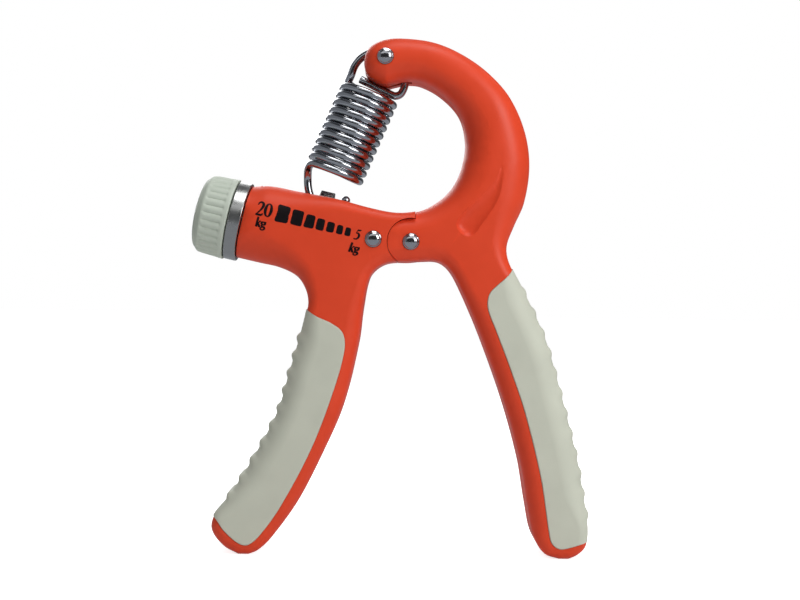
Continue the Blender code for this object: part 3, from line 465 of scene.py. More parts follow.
def node(tree, kind, settings=None, **sockets):
    """A new node. Its sockets are set or linked by number, as i0 or i1, or by name."""
    made = tree.nodes.new(kind)
    for key, value in (settings or {}).items():
        setattr(made, key, value)
    for key, value in sockets.items():
        numbered = key[0] == "i" and key[1:].isdigit()
        socket = made.inputs[int(key[1:]) if numbered else key.replace("_", " ")]
        if isinstance(value, bpy.types.NodeSocket):
            tree.links.new(value, socket)
        else:
            socket.default_value = value
    return made


trial = bpy.data.node_groups.new("trial", "ShaderNodeTree")
clouds = node(trial, "ShaderNodeTexNoise", Scale=9.0)
print("a noise node takes", ", ".join(socket.name for socket in clouds.inputs if socket.enabled))

# %% Arithmetic, ranges and noise in one word each


def arithmetic(tree, operation, first, second=0.5):
    """One step of arithmetic on two values."""
    return node(tree, "ShaderNodeMath", {"operation": operation}, i0=first, i1=second).outputs[0]


def stretched(tree, value, low, high, new_low=0.0, new_high=1.0):
    """The range from low to high stretched to another range, and held at its ends."""
    return node(tree, "ShaderNodeMapRange", i0=value, i1=low, i2=high, i3=new_low, i4=new_high).outputs[0]


def object_spot(tree):
    """Where a point lies in its own piece."""
    return node(tree, "ShaderNodeTexCoord").outputs["Object"]


def noise(tree, spot, scale, detail, roughness=0.5):
    """A cloudy pattern from 0 to 1, with so many clouds in a metre."""
    made = node(tree, "ShaderNodeTexNoise", Vector=spot, Scale=scale, Detail=detail, Roughness=roughness)
    return made.outputs["Fac"]


def effect(name, inputs, outputs):
    """An empty node group with named number inputs and outputs."""
    tree = bpy.data.node_groups.new(name, "ShaderNodeTree")
    for label, value in inputs:
        socket = tree.interface.new_socket(name=label, in_out="INPUT", socket_type="NodeSocketFloat")
        socket.default_value = value
    for label in outputs:
        tree.interface.new_socket(name=label, in_out="OUTPUT", socket_type="NodeSocketFloat")
    return tree, tree.nodes.new("NodeGroupInput"), tree.nodes.new("NodeGroupOutput")


print("a stretched value comes out as", stretched(trial, 0.5, 0.0, 1.0).name)
bpy.data.node_groups.remove(trial)

# %% Moulded skin: a fine grain over slow waves


def make_moulded_skin():
    """The grain's height and the waves' blotches, with both sizes in millimetres."""
    tree, given, result = effect(
        "moulded_skin", [("Grain Size", 0.35), ("Wave Size", 9.0)], ["Height", "Blotch"])
    spot = object_spot(tree)
    grain = arithmetic(tree, "DIVIDE", 1 / MM, given.outputs["Grain Size"])
    waves = arithmetic(tree, "DIVIDE", 1 / MM, given.outputs["Wave Size"])
    tree.links.new(noise(tree, spot, grain, detail=3.0, roughness=0.6), result.inputs["Height"])
    tree.links.new(noise(tree, spot, waves, detail=2.0), result.inputs["Blotch"])
    return tree


MOULDED_SKIN = make_moulded_skin()
print(MOULDED_SKIN.name, "has", len(MOULDED_SKIN.nodes), "nodes")

# %% Rubbed edges: where a convex edge has been handled


def make_rubbed_edges():
    """A mask for edges that stand out, broken up by patches."""
    tree, given, result = effect("rubbed_edges", [("Start", 0.53), ("End", 0.62)], ["Mask"])
    bend = node(tree, "ShaderNodeNewGeometry").outputs["Pointiness"]
    edge = stretched(tree, bend, given.outputs["Start"], given.outputs["End"])
    patches = noise(tree, object_spot(tree), scale=420.0, detail=4.0, roughness=0.7)
    worn = arithmetic(tree, "MULTIPLY", edge, stretched(tree, patches, low=0.4, high=0.65))
    tree.links.new(worn, result.inputs["Mask"])
    return tree


RUBBED_EDGES = make_rubbed_edges()
print(RUBBED_EDGES.name, "has", len(RUBBED_EDGES.nodes), "nodes")

# %% Settled dust: faint, and only on what faces up


def make_settled_dust():
    """A mask of specks on what faces up, as strong as the amount given."""
    tree, given, result = effect("settled_dust", [("Amount", 0.1)], ["Mask"])
    facing = node(tree, "ShaderNodeSeparateXYZ", i0=node(tree, "ShaderNodeNewGeometry").outputs["Normal"])
    upward = stretched(tree, facing.outputs["Z"], low=0.55, high=1.0)
    specks = noise(tree, object_spot(tree), scale=900.0, detail=5.0, roughness=0.75)
    lying = arithmetic(tree, "MULTIPLY", upward, stretched(tree, specks, low=0.42, high=0.72))
    tree.links.new(arithmetic(tree, "MULTIPLY", lying, given.outputs["Amount"]), result.inputs["Mask"])
    return tree


SETTLED_DUST = make_settled_dust()
print(SETTLED_DUST.name, "has", len(SETTLED_DUST.nodes), "nodes")

# %% Tool lines: what a lathe or a brush leaves round a turned part


def make_tool_lines():
    """Fine rings round the piece's own Z, and smudges over them."""
    tree, given, result = effect("tool_lines", [("Lines Per Metre", 6000.0)], ["Height", "Smudge"])
    spot = object_spot(tree)
    parts = node(tree, "ShaderNodeSeparateXYZ", i0=spot)
    squares = [arithmetic(tree, "POWER", parts.outputs[axis], 2.0) for axis in "XY"]
    radius = arithmetic(tree, "SQRT", arithmetic(tree, "ADD", *squares))
    across_lines = node(tree, "ShaderNodeCombineXYZ", X=radius, Z=parts.outputs["Z"]).outputs[0]
    lines = noise(tree, across_lines, given.outputs["Lines Per Metre"], detail=2.0)
    tree.links.new(lines, result.inputs["Height"])
    tree.links.new(noise(tree, spot, scale=260.0, detail=3.0), result.inputs["Smudge"])
    return tree


TOOL_LINES = make_tool_lines()
print(TOOL_LINES.name, "has", len(TOOL_LINES.nodes), "nodes")

# %% [markdown]
# ## Finishes
# Plastics and metals differ in few numbers, so two makers write all the finishes, where a material drawn by
# hand for each would drift apart from the others. A plastic mixes its colour with the blotches, the rubbed
# edges and the dust, and takes its bump from the moulded skin. A metal varies its roughness with smudges
# and takes its bump from the tool lines.

# %% Colours as read off a screen


def linear(red, green, blue):
    """A screen's colour, 0 to 255, as the amounts of light that a shader works with."""
    return tuple(((c / 255 + 0.055) / 1.055) ** 2.4 for c in (red, green, blue)) + (1.0,)


def scaled(colour, share):
    """A colour made darker or lighter."""
    return tuple(min(1.0, c * share) for c in colour[:3]) + (1.0,)


print("mid grey on a screen is", round(linear(128, 128, 128)[0], 3), "of full light")

# %% What both makers share
GLOSS_PATTERN = (0.3, 0.7)


def new_finish(name, colour, roughness, metallic):
    """A material and its shader, with the plain numbers that patterns then vary."""
    finish = bpy.data.materials.new(name)
    finish.diffuse_color = colour
    finish.use_nodes = True
    shader = finish.node_tree.nodes["Principled BSDF"]
    shader.inputs["Roughness"].default_value = roughness
    shader.inputs["Metallic"].default_value = metallic
    return finish, finish.node_tree, shader


def placed(tree, group, **numbers):
    """An effect set down in a finish, with this finish's own numbers."""
    made = node(tree, "ShaderNodeGroup", {"node_tree": group})
    for key, value in numbers.items():
        made.inputs[key.replace("_", " ").title()].default_value = value
    return made


def mixed(tree, share, first, second):
    """Two colours mixed by a mask."""
    made = node(tree, "ShaderNodeMix", {"data_type": "RGBA"})
    for socket, value in ((made.inputs[0], share), (made.inputs[6], first), (made.inputs[7], second)):
        if isinstance(value, bpy.types.NodeSocket):
            tree.links.new(value, socket)
        else:
            socket.default_value = value
    return made.outputs[2]


def wander(tree, shader, pattern, roughness, spread):
    """Let the roughness wander round its middle value with a pattern."""
    gloss = stretched(tree, pattern, *GLOSS_PATTERN, roughness - spread, roughness + spread)
    tree.links.new(gloss, shader.inputs["Roughness"])


def raise_bumps(tree, shader, pattern, depth, strength):
    """Let the light catch a pattern that is so many millimetres deep."""
    bump = node(tree, "ShaderNodeBump", Strength=strength, Distance=depth * MM, Height=pattern)
    tree.links.new(bump.outputs[0], shader.inputs["Normal"])


print("a pattern moves the roughness between its values", GLOSS_PATTERN[0], "and", GLOSS_PATTERN[1])

# %% Plastics and rubber
DUST_COLOUR = linear(214, 208, 200)
BLOTCH_SHADES = (0.93, 1.06)
RUBBED_SHADE = 1.45


def plastic(name, colour, roughness, grain, wear, dust, wave_size=9.0, shine=0.35):
    """A moulded plastic or rubber. Its grain is a size and a depth in millimetres."""
    finish, tree, shader = new_finish(name, colour, roughness, metallic=0.0)
    shader.inputs["Specular IOR Level"].default_value = shine
    skin = placed(tree, MOULDED_SKIN, grain_size=grain[0], wave_size=wave_size)
    base = mixed(tree, skin.outputs["Blotch"], *(scaled(colour, shade) for shade in BLOTCH_SHADES))
    rub = arithmetic(tree, "MULTIPLY", placed(tree, RUBBED_EDGES).outputs["Mask"], wear)
    handled = mixed(tree, rub, base, scaled(colour, RUBBED_SHADE))
    lint = placed(tree, SETTLED_DUST, amount=dust)
    coated = mixed(tree, lint.outputs["Mask"], handled, DUST_COLOUR)
    tree.links.new(coated, shader.inputs["Base Color"])
    wander(tree, shader, skin.outputs["Blotch"], roughness, spread=0.05)
    raise_bumps(tree, shader, skin.outputs["Height"], grain[1], strength=0.35)
    return finish


print("a rubbed edge is", RUBBED_SHADE, "times as light as its plastic")

# %% Metals
SMUDGE_SHADES = (0.9, 1.08)


def metal(name, colour, roughness, spread, lines, line_depth):
    """A metal with so many tool lines in a metre, so many millimetres deep."""
    finish, tree, shader = new_finish(name, colour, roughness, metallic=1.0)
    cut = placed(tree, TOOL_LINES, lines_per_metre=lines)
    tint = mixed(tree, cut.outputs["Smudge"], *(scaled(colour, shade) for shade in SMUDGE_SHADES))
    tree.links.new(tint, shader.inputs["Base Color"])
    wander(tree, shader, cut.outputs["Smudge"], roughness, spread)
    raise_bumps(tree, shader, cut.outputs["Height"], line_depth, strength=0.5)
    return finish


print("smudges shade a metal from", SMUDGE_SHADES[0], "to", SMUDGE_SHADES[1], "times its colour")

# %% The finishes of this gripper
PLASTICS = {
    "orange_plastic": dict(
        colour=linear(221, 69, 37), roughness=0.42, grain=(0.30, 0.012), wear=0.22, dust=0.04, shine=0.25),
    "grip_rubber": dict(
        colour=linear(195, 198, 183), roughness=0.62, grain=(0.45, 0.030), wear=0.15, dust=0.03),
    "knob_plastic": dict(
        colour=linear(191, 200, 187), roughness=0.46, grain=(0.35, 0.015), wear=0.2, dust=0.05),
    "white_nylon": dict(
        colour=linear(214, 212, 203), roughness=0.52, grain=(0.30, 0.010), wear=0.1, dust=0.02),
    "black_ink": dict(
        colour=linear(16, 11, 14), roughness=0.50, grain=(0.20, 0.004), wear=0.0, dust=0.02,
        wave_size=3.0, shine=0.15)}
METALS = {
    "chromed_steel": dict(
        colour=linear(176, 179, 184), roughness=0.15, spread=0.04, lines=900.0, line_depth=0.002),
    "brushed_steel": dict(
        colour=linear(172, 173, 172), roughness=0.27, spread=0.05, lines=9000.0, line_depth=0.006),
    "plain_steel": dict(
        colour=linear(140, 142, 146), roughness=0.36, spread=0.08, lines=2500.0, line_depth=0.010)}
FINISHES = {name: plastic(name, **look) for name, look in PLASTICS.items()}
FINISHES.update({name: metal(name, **look) for name, look in METALS.items()})
print("finishes:", ", ".join(FINISHES))

# %% Dress a piece: finish, slot, body, and the nodes it stands for


def dress(piece, finish, body, *nodes):
    """Finish a piece, let it ride on a body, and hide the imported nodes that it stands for."""
    piece.data.materials.clear()
    piece.data.materials.append(FINISHES[finish])
    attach(piece, body)
    if nodes:
        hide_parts(*nodes)
    return piece


print("finishes to choose from:", len(FINISHES))

# %% [markdown]
# ## The levers' rounded section
# Each lever is moulded as a front and a back half. The edge isn't one fixed radius: the handles have a
# small one, the bow is nearly round, and the arm gets rounder towards its end until it meets the round
# collar. A bevel would do for one radius, but it breaks where the bow is narrower than two radii. So the
# face is a height map: the depth at a point follows from its distance to the outline and from the edge
# radius that holds there.

# %% Where the edge radius grows, and by how much
HANDLE_EDGE = 3.2
INNER_EXTRA = 1.8
SIDE_BLEND = (-3.0, 6.0)
HANDLE_TOP = (-26.0, -10.0)
HANDLE_TIP = (FLOOR + 2.0, FLOOR + 12.0)
ARM_EXTRA = 7.4
ARM_BLEND = (1.0, 34.0)
ARM_RISE = (-24.0, -7.0)
BOW_EXTRA = 5.4
BOW_RISE = (-14.0, 20.0)
SLIM_LESS = 2.9
SLIM_RISE = (30.0, 54.0)


def inner_side(points, inner_line, outer_line):
    """From 0 at a handle's outer line to 1 at its inner line, below the hinge only."""
    nearer = open_distance(outer_line, points) - open_distance(inner_line, points)
    height = points[:, 1]
    return ease(nearer, *SIDE_BLEND) * (1 - ease(height, *HANDLE_TOP)) * ease(height, *HANDLE_TIP)


def left_edge_radius(points):
    """The edge radius at points of the fixed lever: largest at the arm's end."""
    points = np.asarray(points, float)
    roundness = (1 - ease(arm_along(points), *ARM_BLEND)) * ease(points[:, 1], *ARM_RISE)
    inner = inner_side(points, smooth(LEFT_INNER), smooth(LEFT_OUTER))
    return HANDLE_EDGE + ARM_EXTRA * roundness + INNER_EXTRA * inner


def right_edge_radius(points):
    """The edge radius at points of the moving lever: larger up the bow, and less at its slim head."""
    points = np.asarray(points, float)
    rise = ease(points[:, 1], *BOW_RISE)
    slim = ease(points[:, 1], *SLIM_RISE)
    inner = inner_side(points, smooth(RIGHT_INNER), smooth(RIGHT_OUTER))
    return HANDLE_EDGE + BOW_EXTRA * rise - SLIM_LESS * slim + INNER_EXTRA * inner


print("edge radius at the pin:", round(right_edge_radius([(0.0, 0.0)])[0], 1), "mm")

# %% The depth of each face, and of the scoop in the bow
SCOOP_LOOP = smooth(SCOOP + SCOOP[:1])[:-1]
SCOOP_WALL = 2.2
SCOOP_DEPTH = 0.55
SCOOP_DEEPER = 0.65
SCOOP_FALL = (-24.0, -4.0)


def crown(distance, radius):
    """The depth of the face this far in from the outline."""
    short = np.clip(1 - distance / radius, 0.0, 1.0)
    return HALF_THICKNESS - radius * (1 - np.sqrt(1 - short ** 2))


def left_depth(points):
    """How far the fixed lever's face stands from the split plane."""
    return crown(nearest_distance(LEFT_LINE, points), left_edge_radius(points))


def scoop_depth(points):
    """How deep the leaf-shaped scoop is: crisp at its rim, deepest near its lower end."""
    inside = np.where(is_inside(SCOOP_LOOP, points), nearest_distance(SCOOP_LOOP, points), 0.0)
    short = np.clip(1 - inside / SCOOP_WALL, 0.0, 1.0)
    deep = SCOOP_DEPTH + SCOOP_DEEPER * ease(-np.asarray(points)[:, 1], *SCOOP_FALL)
    return deep * (1 - short ** 2)


def right_depth(points):
    """How far the moving lever's face stands from the split plane, less the scoop."""
    return crown(nearest_distance(RIGHT_LINE, points), right_edge_radius(points)) - scoop_depth(points)


print("the face stands", round(right_depth([(0.0, 0.0)])[0], 2), "mm from the split plane at the pin")

# %% Points on a face's round edge
RIM_STEPS = 8
FINE_RINGS = 2
FINE_CELL = 0.12
COARSE_CELL = 0.45
SOUND_SHARE = 0.985
TINY = 0.001


def rim_points(outline, radius):
    """Rings of points inside an outline, one for each step of its round edge, thinned where they crowd."""
    kept, taken = [], set()
    for k in range(1, RIM_STEPS + 1):
        inset = radius * (1 - math.cos(math.pi / 2 * k / RIM_STEPS))
        ring = moved_in(outline, inset)
        sound = nearest_distance(outline, ring) > inset * SOUND_SHARE - TINY
        sound &= is_inside(outline, ring)
        fine = k <= FINE_RINGS
        cell_size = FINE_CELL if fine else COARSE_CELL
        for point in ring[sound]:
            cell = fine, round(point[0] / cell_size), round(point[1] / cell_size)
            if cell not in taken:
                taken.add(cell)
                kept.append(point)
    return kept


print("points on the fixed lever's round edge:", len(rim_points(LEFT_LINE, left_edge_radius(LEFT_LINE))))

# %% Points over the rest of a face
FACE_STEP = 1.3
ROW_SHARE = 0.87
CLEAR_SHARE = 0.6
ROUND_START = 0.5
ROUND_END = 1.05
DETAIL_START = 1.0


def grid_points(outline, radius_of, details):
    """An even grid inside an outline, only where the face is round or has a detail."""
    low, high = outline.min(0), outline.max(0)
    grid = []
    for row, z in enumerate(np.arange(low[1], high[1], FACE_STEP * ROW_SHARE)):
        grid += [(x, z) for x in np.arange(low[0] + row % 2 * FACE_STEP / 2, high[0], FACE_STEP)]
    grid = np.array(grid)
    grid = grid[is_inside(outline, grid)]
    away, reach = nearest_distance(outline, grid), radius_of(grid)
    near_detail = np.zeros(len(grid), bool)
    for detail in details:
        near_detail |= is_inside(detail, grid)
    is_round = (away > ROUND_START * reach) & (away < ROUND_END * reach)
    return grid[is_round | ((away > DETAIL_START) & near_detail)]


def face_points(outline, radius_of, details):
    """All the points inside a face: rings, detail lines, and the grid where it is clear of both."""
    lines = np.array(rim_points(outline, radius_of(outline)) + [p for detail in details for p in detail])
    grid = grid_points(outline, radius_of, details)
    clear = [np.linalg.norm(lines - p, axis=1).min() > CLEAR_SHARE * FACE_STEP for p in grid]
    return np.concatenate([lines, grid[clear]])


print("points over the rest of it:", len(grid_points(np.array(LEFT_LINE), left_edge_radius, [])))

# %% Fill an outline with triangles, and find its border again
MERGE = 0.0005


def filled(outline, inner):
    """The places and the faces of triangles that fill an outline and use the points inside it."""
    points = [Vector(p) for p in outline] + [Vector(p) for p in inner]
    places, _, faces, *_ = delaunay_2d_cdt(points, [], [list(range(len(outline)))], 1, MERGE)
    return np.array([tuple(p) for p in places]), faces


def rim_edges(faces):
    """The edges on a triangulated face's border, which only one triangle uses."""
    seen = {}
    for face in faces:
        for a, b in zip(face, face[1:] + face[:1]):
            if (b, a) in seen:
                del seen[(b, a)]
            else:
                seen[(a, b)] = True
    return list(seen)


def rim_loop(faces):
    """The vertices round a triangulated face's border, in order."""
    following = dict(rim_edges(faces))
    loop = [next(iter(following))]
    while following[loop[-1]] != loop[0]:
        loop.append(following[loop[-1]])
    return loop


def turns_left(line):
    """Whether a closed line runs anticlockwise."""
    x, z = np.asarray(line, float).T
    return float(np.sum(x * np.roll(z, -1) - np.roll(x, -1) * z)) > 0


print("a square fills with", len(filled([(0, 0), (0, 1), (1, 1), (1, 0)], [])[1]), "triangles")

# %% One moulded half
# Down from the rounded face: how far in, and how far off the split plane.
SPLIT_EDGE = ((0.0, 0.22), (0.14, 0.02))


def half_lever(name, line, radius_of, depth_of, side, details=()):
    """A half from its rounded face to the split plane, where a small bevel leaves a fine line.
    Side is -1 in front and 1 behind."""
    outline = np.asarray(line, float)
    spots, faces = filled(outline, face_points(outline, radius_of, details))
    shape = bmesh.new()
    top = [shape.verts.new(world(x, side * y, z)) for (x, z), y in zip(spots, depth_of(spots))]
    for face in faces:
        shape.faces.new([top[i] for i in face])
    rim = rim_loop(faces)
    edge = spots[rim]
    above = [top[i] for i in rim]
    for inset, height in SPLIT_EDGE:
        ring = moved_in(edge, -inset if turns_left(edge) else inset)
        below = [shape.verts.new(world(x, side * height, z)) for x, z in ring]
        for i in range(len(rim)):
            j = (i + 1) % len(rim)
            shape.faces.new((above[i], above[j], below[j], below[i]))
        above = below
    shape.faces.new(above)
    return from_bmesh(name, shape)


print("the halves' flat sides are", 2 * SPLIT_EDGE[-1][1], "mm apart")

# %% [markdown]
# ## Rubber pads
# The pads are rubber moulded round the handles' outer sides, with soft ribs for the fingers. A rib is a
# rounded bump two thirds of a pitch wide that dies away over the rim. The pad could be sculpted, but then
# each rib would differ. Here it is built as rings round the whole handle edge, then cut to its border, and
# the lever gets a bed that leaves a hair's breadth all round.

# %% The sizes of the pads, in millimetres
PAD_THICKNESS = 2.2
PAD_PROUD = 0.3
PAD_ROUND = 6.8
CORE_ROUND = 2.0
LEFT_RIB_HEIGHT = 0.85
RIGHT_RIB_HEIGHT = 0.6
RIB_SHARE = 0.66
RIB_SHARPNESS = 1.3
RIB_FADE = (16.0, 52.0)
BED_GAP = 0.06
SOFT_BORDER = 0.34
# Round the border's edge: a share of the width above, and how far below the pad's face.
SOFT_ROUND = ((1.0, 0.0), (0.56, 0.06), (0.22, 0.16), (0.0, 0.36))
print("a pad stands", PAD_PROUD, "mm proud of its lever and is", PAD_THICKNESS, "mm thick under that")

# %% Work on open lines
RUN_ON = 11.0


def lengths_along(line):
    """How far down an open line each of its points lies."""
    return np.concatenate([[0.0], np.cumsum(np.linalg.norm(np.diff(line, axis=0), axis=1))])


def evenly(line, step):
    """An open line with its points an even step apart."""
    line = np.asarray(line, float)
    lengths = lengths_along(line)
    places = np.linspace(0.0, lengths[-1], max(2, round(lengths[-1] / step)))
    return np.stack([np.interp(places, lengths, line[:, axis]) for axis in (0, 1)], axis=1)


def run_on(line):
    """An open line drawn on straight past both its ends."""
    line = np.asarray(line, float)
    first, last = [
        end + (end - inner) / np.linalg.norm(end - inner) * RUN_ON
        for end, inner in ((line[0], line[1]), (line[-1], line[-2]))]
    return np.vstack([first, line, last])


def outwards(line):
    """At each point of an open line, the unit step to its left."""
    ahead = np.gradient(np.asarray(line, float), axis=0)
    ahead /= np.linalg.norm(ahead, axis=1)[:, None]
    return np.stack([-ahead[:, 1], ahead[:, 0]], axis=1)


print(f"the left handle's outer edge is {lengths_along(smooth(LEFT_OUTER))[-1]:.0f} mm long")

# %% The ribbed blank
EDGE_STEPS = 14
CORE_STEPS = 5


def rib_heights(line, crests):
    """How high the ribs stand at each point of an edge, as a share: a rounded bump at each crest's height."""
    lengths = lengths_along(line)
    order = np.argsort(line[:, 1])
    places = np.interp(crests, line[order, 1], lengths[order])
    width = np.abs(np.diff(places)).mean() * RIB_SHARE
    away = np.abs(lengths[:, None] - places[None]).min(axis=1)
    return np.cos(np.minimum(np.pi * away / width, np.pi / 2)) ** RIB_SHARPNESS


def handle_blank(name, edge, depth, radius, stand, ribs=0.0, steps=EDGE_STEPS):
    """A slab with a rounded rim along a handle's outer edge, closed past the handle's inner side."""
    out = outwards(edge)
    radius = np.broadcast_to(radius, len(edge))
    rings = []
    for side, order in ((-1, range(steps, -1, -1)), (1, range(steps + 1))):
        for k in order:
            angle = math.pi / 2 * k / steps
            rib = ribs * (1 - ease(math.degrees(angle), *RIB_FADE))
            height = stand - radius * (1 - math.cos(angle)) + rib
            line = edge + out * np.reshape(height, (-1, 1))
            depths = side * (depth - radius * (1 - math.sin(angle)))
            ring = [world(x, y, z) for (x, z), y in zip(line, depths)]
            rings.append(ring + [world(0.0, depths[-1], edge[-1][1]), world(0.0, depths[0], edge[0][1])])
    return loft(name, rings)


def soft_region(name, border, face):
    """The pad's border as a tool, drawn in by a quarter round just under the pad's face."""
    rings = [[(x, PAST, z) for x, z in moved_in(border, SOFT_BORDER)]]
    for share, drop in SOFT_ROUND:
        rings.append([(x, face - drop, z) for x, z in moved_in(border, share * SOFT_BORDER)])
    whole = [[(x, -y, z) for x, y, z in ring] for ring in rings] + rings[::-1]
    return loft(name, [[world(*p) for p in ring] for ring in whole])


print("the ribs fade out", RIB_FADE[1], "degrees round the rim")

# %% One pad, and the tool that cuts its bed
BLANK_STEP = 0.35
CORE_STEP = 0.7
ROUND_LOW = 15.0
ROUND_HIGH = 12.0
ROUND_BLEND = 14.0


def make_pad(name, outer, border, far, crests, rib_height):
    """The blank cut to its border and hollowed to its core. Far closes the border outside the handle."""
    edge = evenly(run_on(smooth(outer)), BLANK_STEP)
    low, high = edge[:, 1].min() + ROUND_LOW, edge[:, 1].max() - ROUND_HIGH
    middle = ease(edge[:, 1], low, low + ROUND_BLEND) * (1 - ease(edge[:, 1], high - ROUND_BLEND, high))
    radius = HANDLE_EDGE + (PAD_ROUND - HANDLE_EDGE) * middle
    face = HALF_THICKNESS + PAD_PROUD
    pad = handle_blank(name, edge, face, radius, PAD_PROUD, rib_height * rib_heights(edge, crests))
    region = smooth(border) + [far]
    plain = evenly(run_on(smooth(outer)), CORE_STEP)

    def core(tool, under):
        return handle_blank(tool, plain, HALF_THICKNESS - under, CORE_ROUND, -under, steps=CORE_STEPS)

    carve(pad, [soft_region(name + "_region", region, face)], "INTERSECT")
    carve(pad, [core(name + "_core", PAD_THICKNESS)])
    bed = extruded(name + "_bed", moved_in(region, -BED_GAP), -PAST, PAST)
    carve(bed, [core(name + "_bed_core", PAD_THICKNESS + BED_GAP)])
    return pad, bed


print("a pad's rim is rounded by", PAD_ROUND, "mm, and by", HANDLE_EDGE, "mm at its ends")

# %% Make both pads
LEFT_CRESTS = np.linspace(-77.8, -29.6, 10)
RIGHT_CRESTS = np.linspace(-81.8, -14.6, 12)
LEFT_FAR = (-75.0, -45.0)
RIGHT_FAR = (70.0, -45.0)
grip_left, left_bed = make_pad(
    "rubber_pad_left", LEFT_OUTER[2:12], LEFT_PAD, LEFT_FAR, LEFT_CRESTS, LEFT_RIB_HEIGHT)
grip_right, right_bed = make_pad(
    "rubber_pad_right", BOW_OUTER[-2:] + RIGHT_OUTER[:7], RIGHT_PAD, RIGHT_FAR, RIGHT_CRESTS,
    RIGHT_RIB_HEIGHT)
dress(soften(grip_left), "grip_rubber", "fixed_lever", "grip_left")
dress(soften(grip_right), "grip_rubber", "moving_lever", "grip_right")
print("left pad", len(grip_left.data.polygons), "faces, right pad", len(grip_right.data.polygons))

# %% [markdown]
# ## The fixed lever
# The arm, the hinge socket and the left handle are one moulding. Its openings could be drawn into the
# outline, but each stands in for something that moves or fits there, so each is a tool of its own: the bed
# of the pad, the round socket that the other lever turns in, the room for the hinge tongue, the bores of
# the adjuster, and the slot on top that the strap moves along.

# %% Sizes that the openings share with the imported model
GAP = 0.3
SLIDE_GAP = 0.4
SEAM = 0.17
KNUCKLE_RADIUS = 7.1
STOP_X = 1.4
TONGUE_RIVET = (-11.4, 0.6)
TONGUE_RADIUS = 3.8
TONGUE_THICKNESS = 2.4
TONGUE_ROOM = TONGUE_THICKNESS / 2 + GAP
WIRE_RADIUS = 1.05
HOOK_REACH = 7.4
CARRIAGE_REST = 22.7
CARRIAGE_OUT = 12.0
CARRIAGE_IN = 6.0
STRAP_INNER = WIRE_RADIUS + SLIDE_GAP
STRAP_THICKNESS = 1.4
STRAP_OUTER = STRAP_INNER + STRAP_THICKNESS
STRAP_LENGTH = 4.6
NUT_HALF = 5.5
NUT_LENGTH = 6.5
BUSH_BORE = 7.8
BUSH_END = 4.5
CHANNEL_START = 4.2
FLANGE_BORE = 9.3
FLANGE_START = 0.7
FLANGE_END = 3.1
BEARING_BORE = 4.9
BEARING_WIDTH = 2.0
BEARING_START = CARRIAGE_REST + CARRIAGE_IN + NUT_LENGTH / 2 + 2 * GAP
SLOT_FLOOR = -4.35
print(f"the nut moves {CARRIAGE_OUT + CARRIAGE_IN:.0f} mm along the arm")

# %% The rivets' sizes, and the tool that seats one
SHANK_RADIUS = 1.5
HEAD_RADIUS = 2.4
HEAD_HEIGHT = 1.4
HEAD_RECESS = 0.5
HEAD_ROOM = 0.2
SEAT_FLARE = 0.35
SEAT_WALL = 0.15
PAST_SPLIT = -4.0


def rivet_tool(name, centre, side):
    """A rivet's hole and the shallow recess round its head, which opens out above its short wall."""
    hole, wide, floor = SHANK_RADIUS + GAP, HEAD_RADIUS + HEAD_ROOM, HALF_THICKNESS - HEAD_RECESS
    profile = [
        (0.0, PAST), (wide + SEAT_FLARE, PAST), (wide, floor + SEAT_WALL), (wide, floor), (hole, floor),
        (hole, PAST_SPLIT), (0.0, PAST_SPLIT)]
    facing = across(centre) @ Matrix.Rotation(math.pi / 2 * (1 - side), 4, "X")
    return turned(name, profile, facing, SMALL_SIDES)


print("a rivet's hole is", round(2 * (SHANK_RADIUS + GAP), 1), "mm wide")

# %% Tools for the hinge


def capsule(a, b, radius, steps=32):
    """The outline of a bar with round ends."""
    heading = math.atan2(b[1] - a[1], b[0] - a[0])
    line = []
    for centre, start in ((a, heading - math.pi / 2), (b, heading + math.pi / 2)):
        for k in range(steps + 1):
            angle = start - math.pi * k / steps
            line.append((centre[0] + radius * math.cos(angle), centre[1] + radius * math.sin(angle)))
    return line


def hinge_tools():
    """The round socket, all that lies right of the stop, and the room for the tongue."""
    stop = STOP_X - SEAM
    return [
        bar("socket", KNUCKLE_RADIUS + SEAM, PAST, -PAST, across((0.0, 0.0)), FINE_SIDES),
        extruded("hinge_side", [(stop, -PAST), (stop, PAST), (PAST, PAST), (PAST, -PAST)], -PAST, PAST),
        extruded(
            "tongue_room", capsule(TONGUE_RIVET, (0.0, 0.0), TONGUE_RADIUS + GAP), -TONGUE_ROOM, TONGUE_ROOM)]


print("the hinge's socket is", round(2 * (KNUCKLE_RADIUS + SEAM), 2), "mm wide")

# %% Tools for the arm


def arm_tools():
    """The arm's end face, the adjuster's bores, the channel and the slots."""
    hook = HOOK_REACH + 2 * SLIDE_GAP
    strap = STRAP_LENGTH / 2 + 2 * SLIDE_GAP
    channel = NUT_HALF + SLIDE_GAP
    wide = STRAP_OUTER + SLIDE_GAP
    inmost, outmost = -CARRIAGE_REST - CARRIAGE_IN, -CARRIAGE_REST + CARRIAGE_OUT
    bush = [
        (0.0, PAST), (BUSH_BORE, PAST), (BUSH_BORE, -FLANGE_START), (FLANGE_BORE, -FLANGE_START),
        (FLANGE_BORE, -FLANGE_END), (BUSH_BORE, -FLANGE_END), (BUSH_BORE, -BUSH_END), (0.0, -BUSH_END)]
    bearing_end = BEARING_START + BEARING_WIDTH + GAP
    return [
        block("arm_end", (-PAST, -PAST, 0.0), (PAST, PAST, PAST), SCREW_LINE),
        turned("bush_bore", bush, SCREW_LINE),
        block("channel", (-channel, -channel, GAP - BEARING_START), (channel, channel, -CHANNEL_START),
              SCREW_LINE),
        bar("bearing_bore", BEARING_BORE, -BEARING_START + 2 * GAP, -bearing_end, SCREW_LINE),
        block("hook_slot", (SLOT_FLOOR, -wide, inmost - hook), (PAST, wide, outmost + hook), SCREW_LINE),
        block("strap_slot", (channel - GAP, -wide + GAP, inmost - strap), (PAST, wide - GAP, outmost + strap),
              SCREW_LINE)]


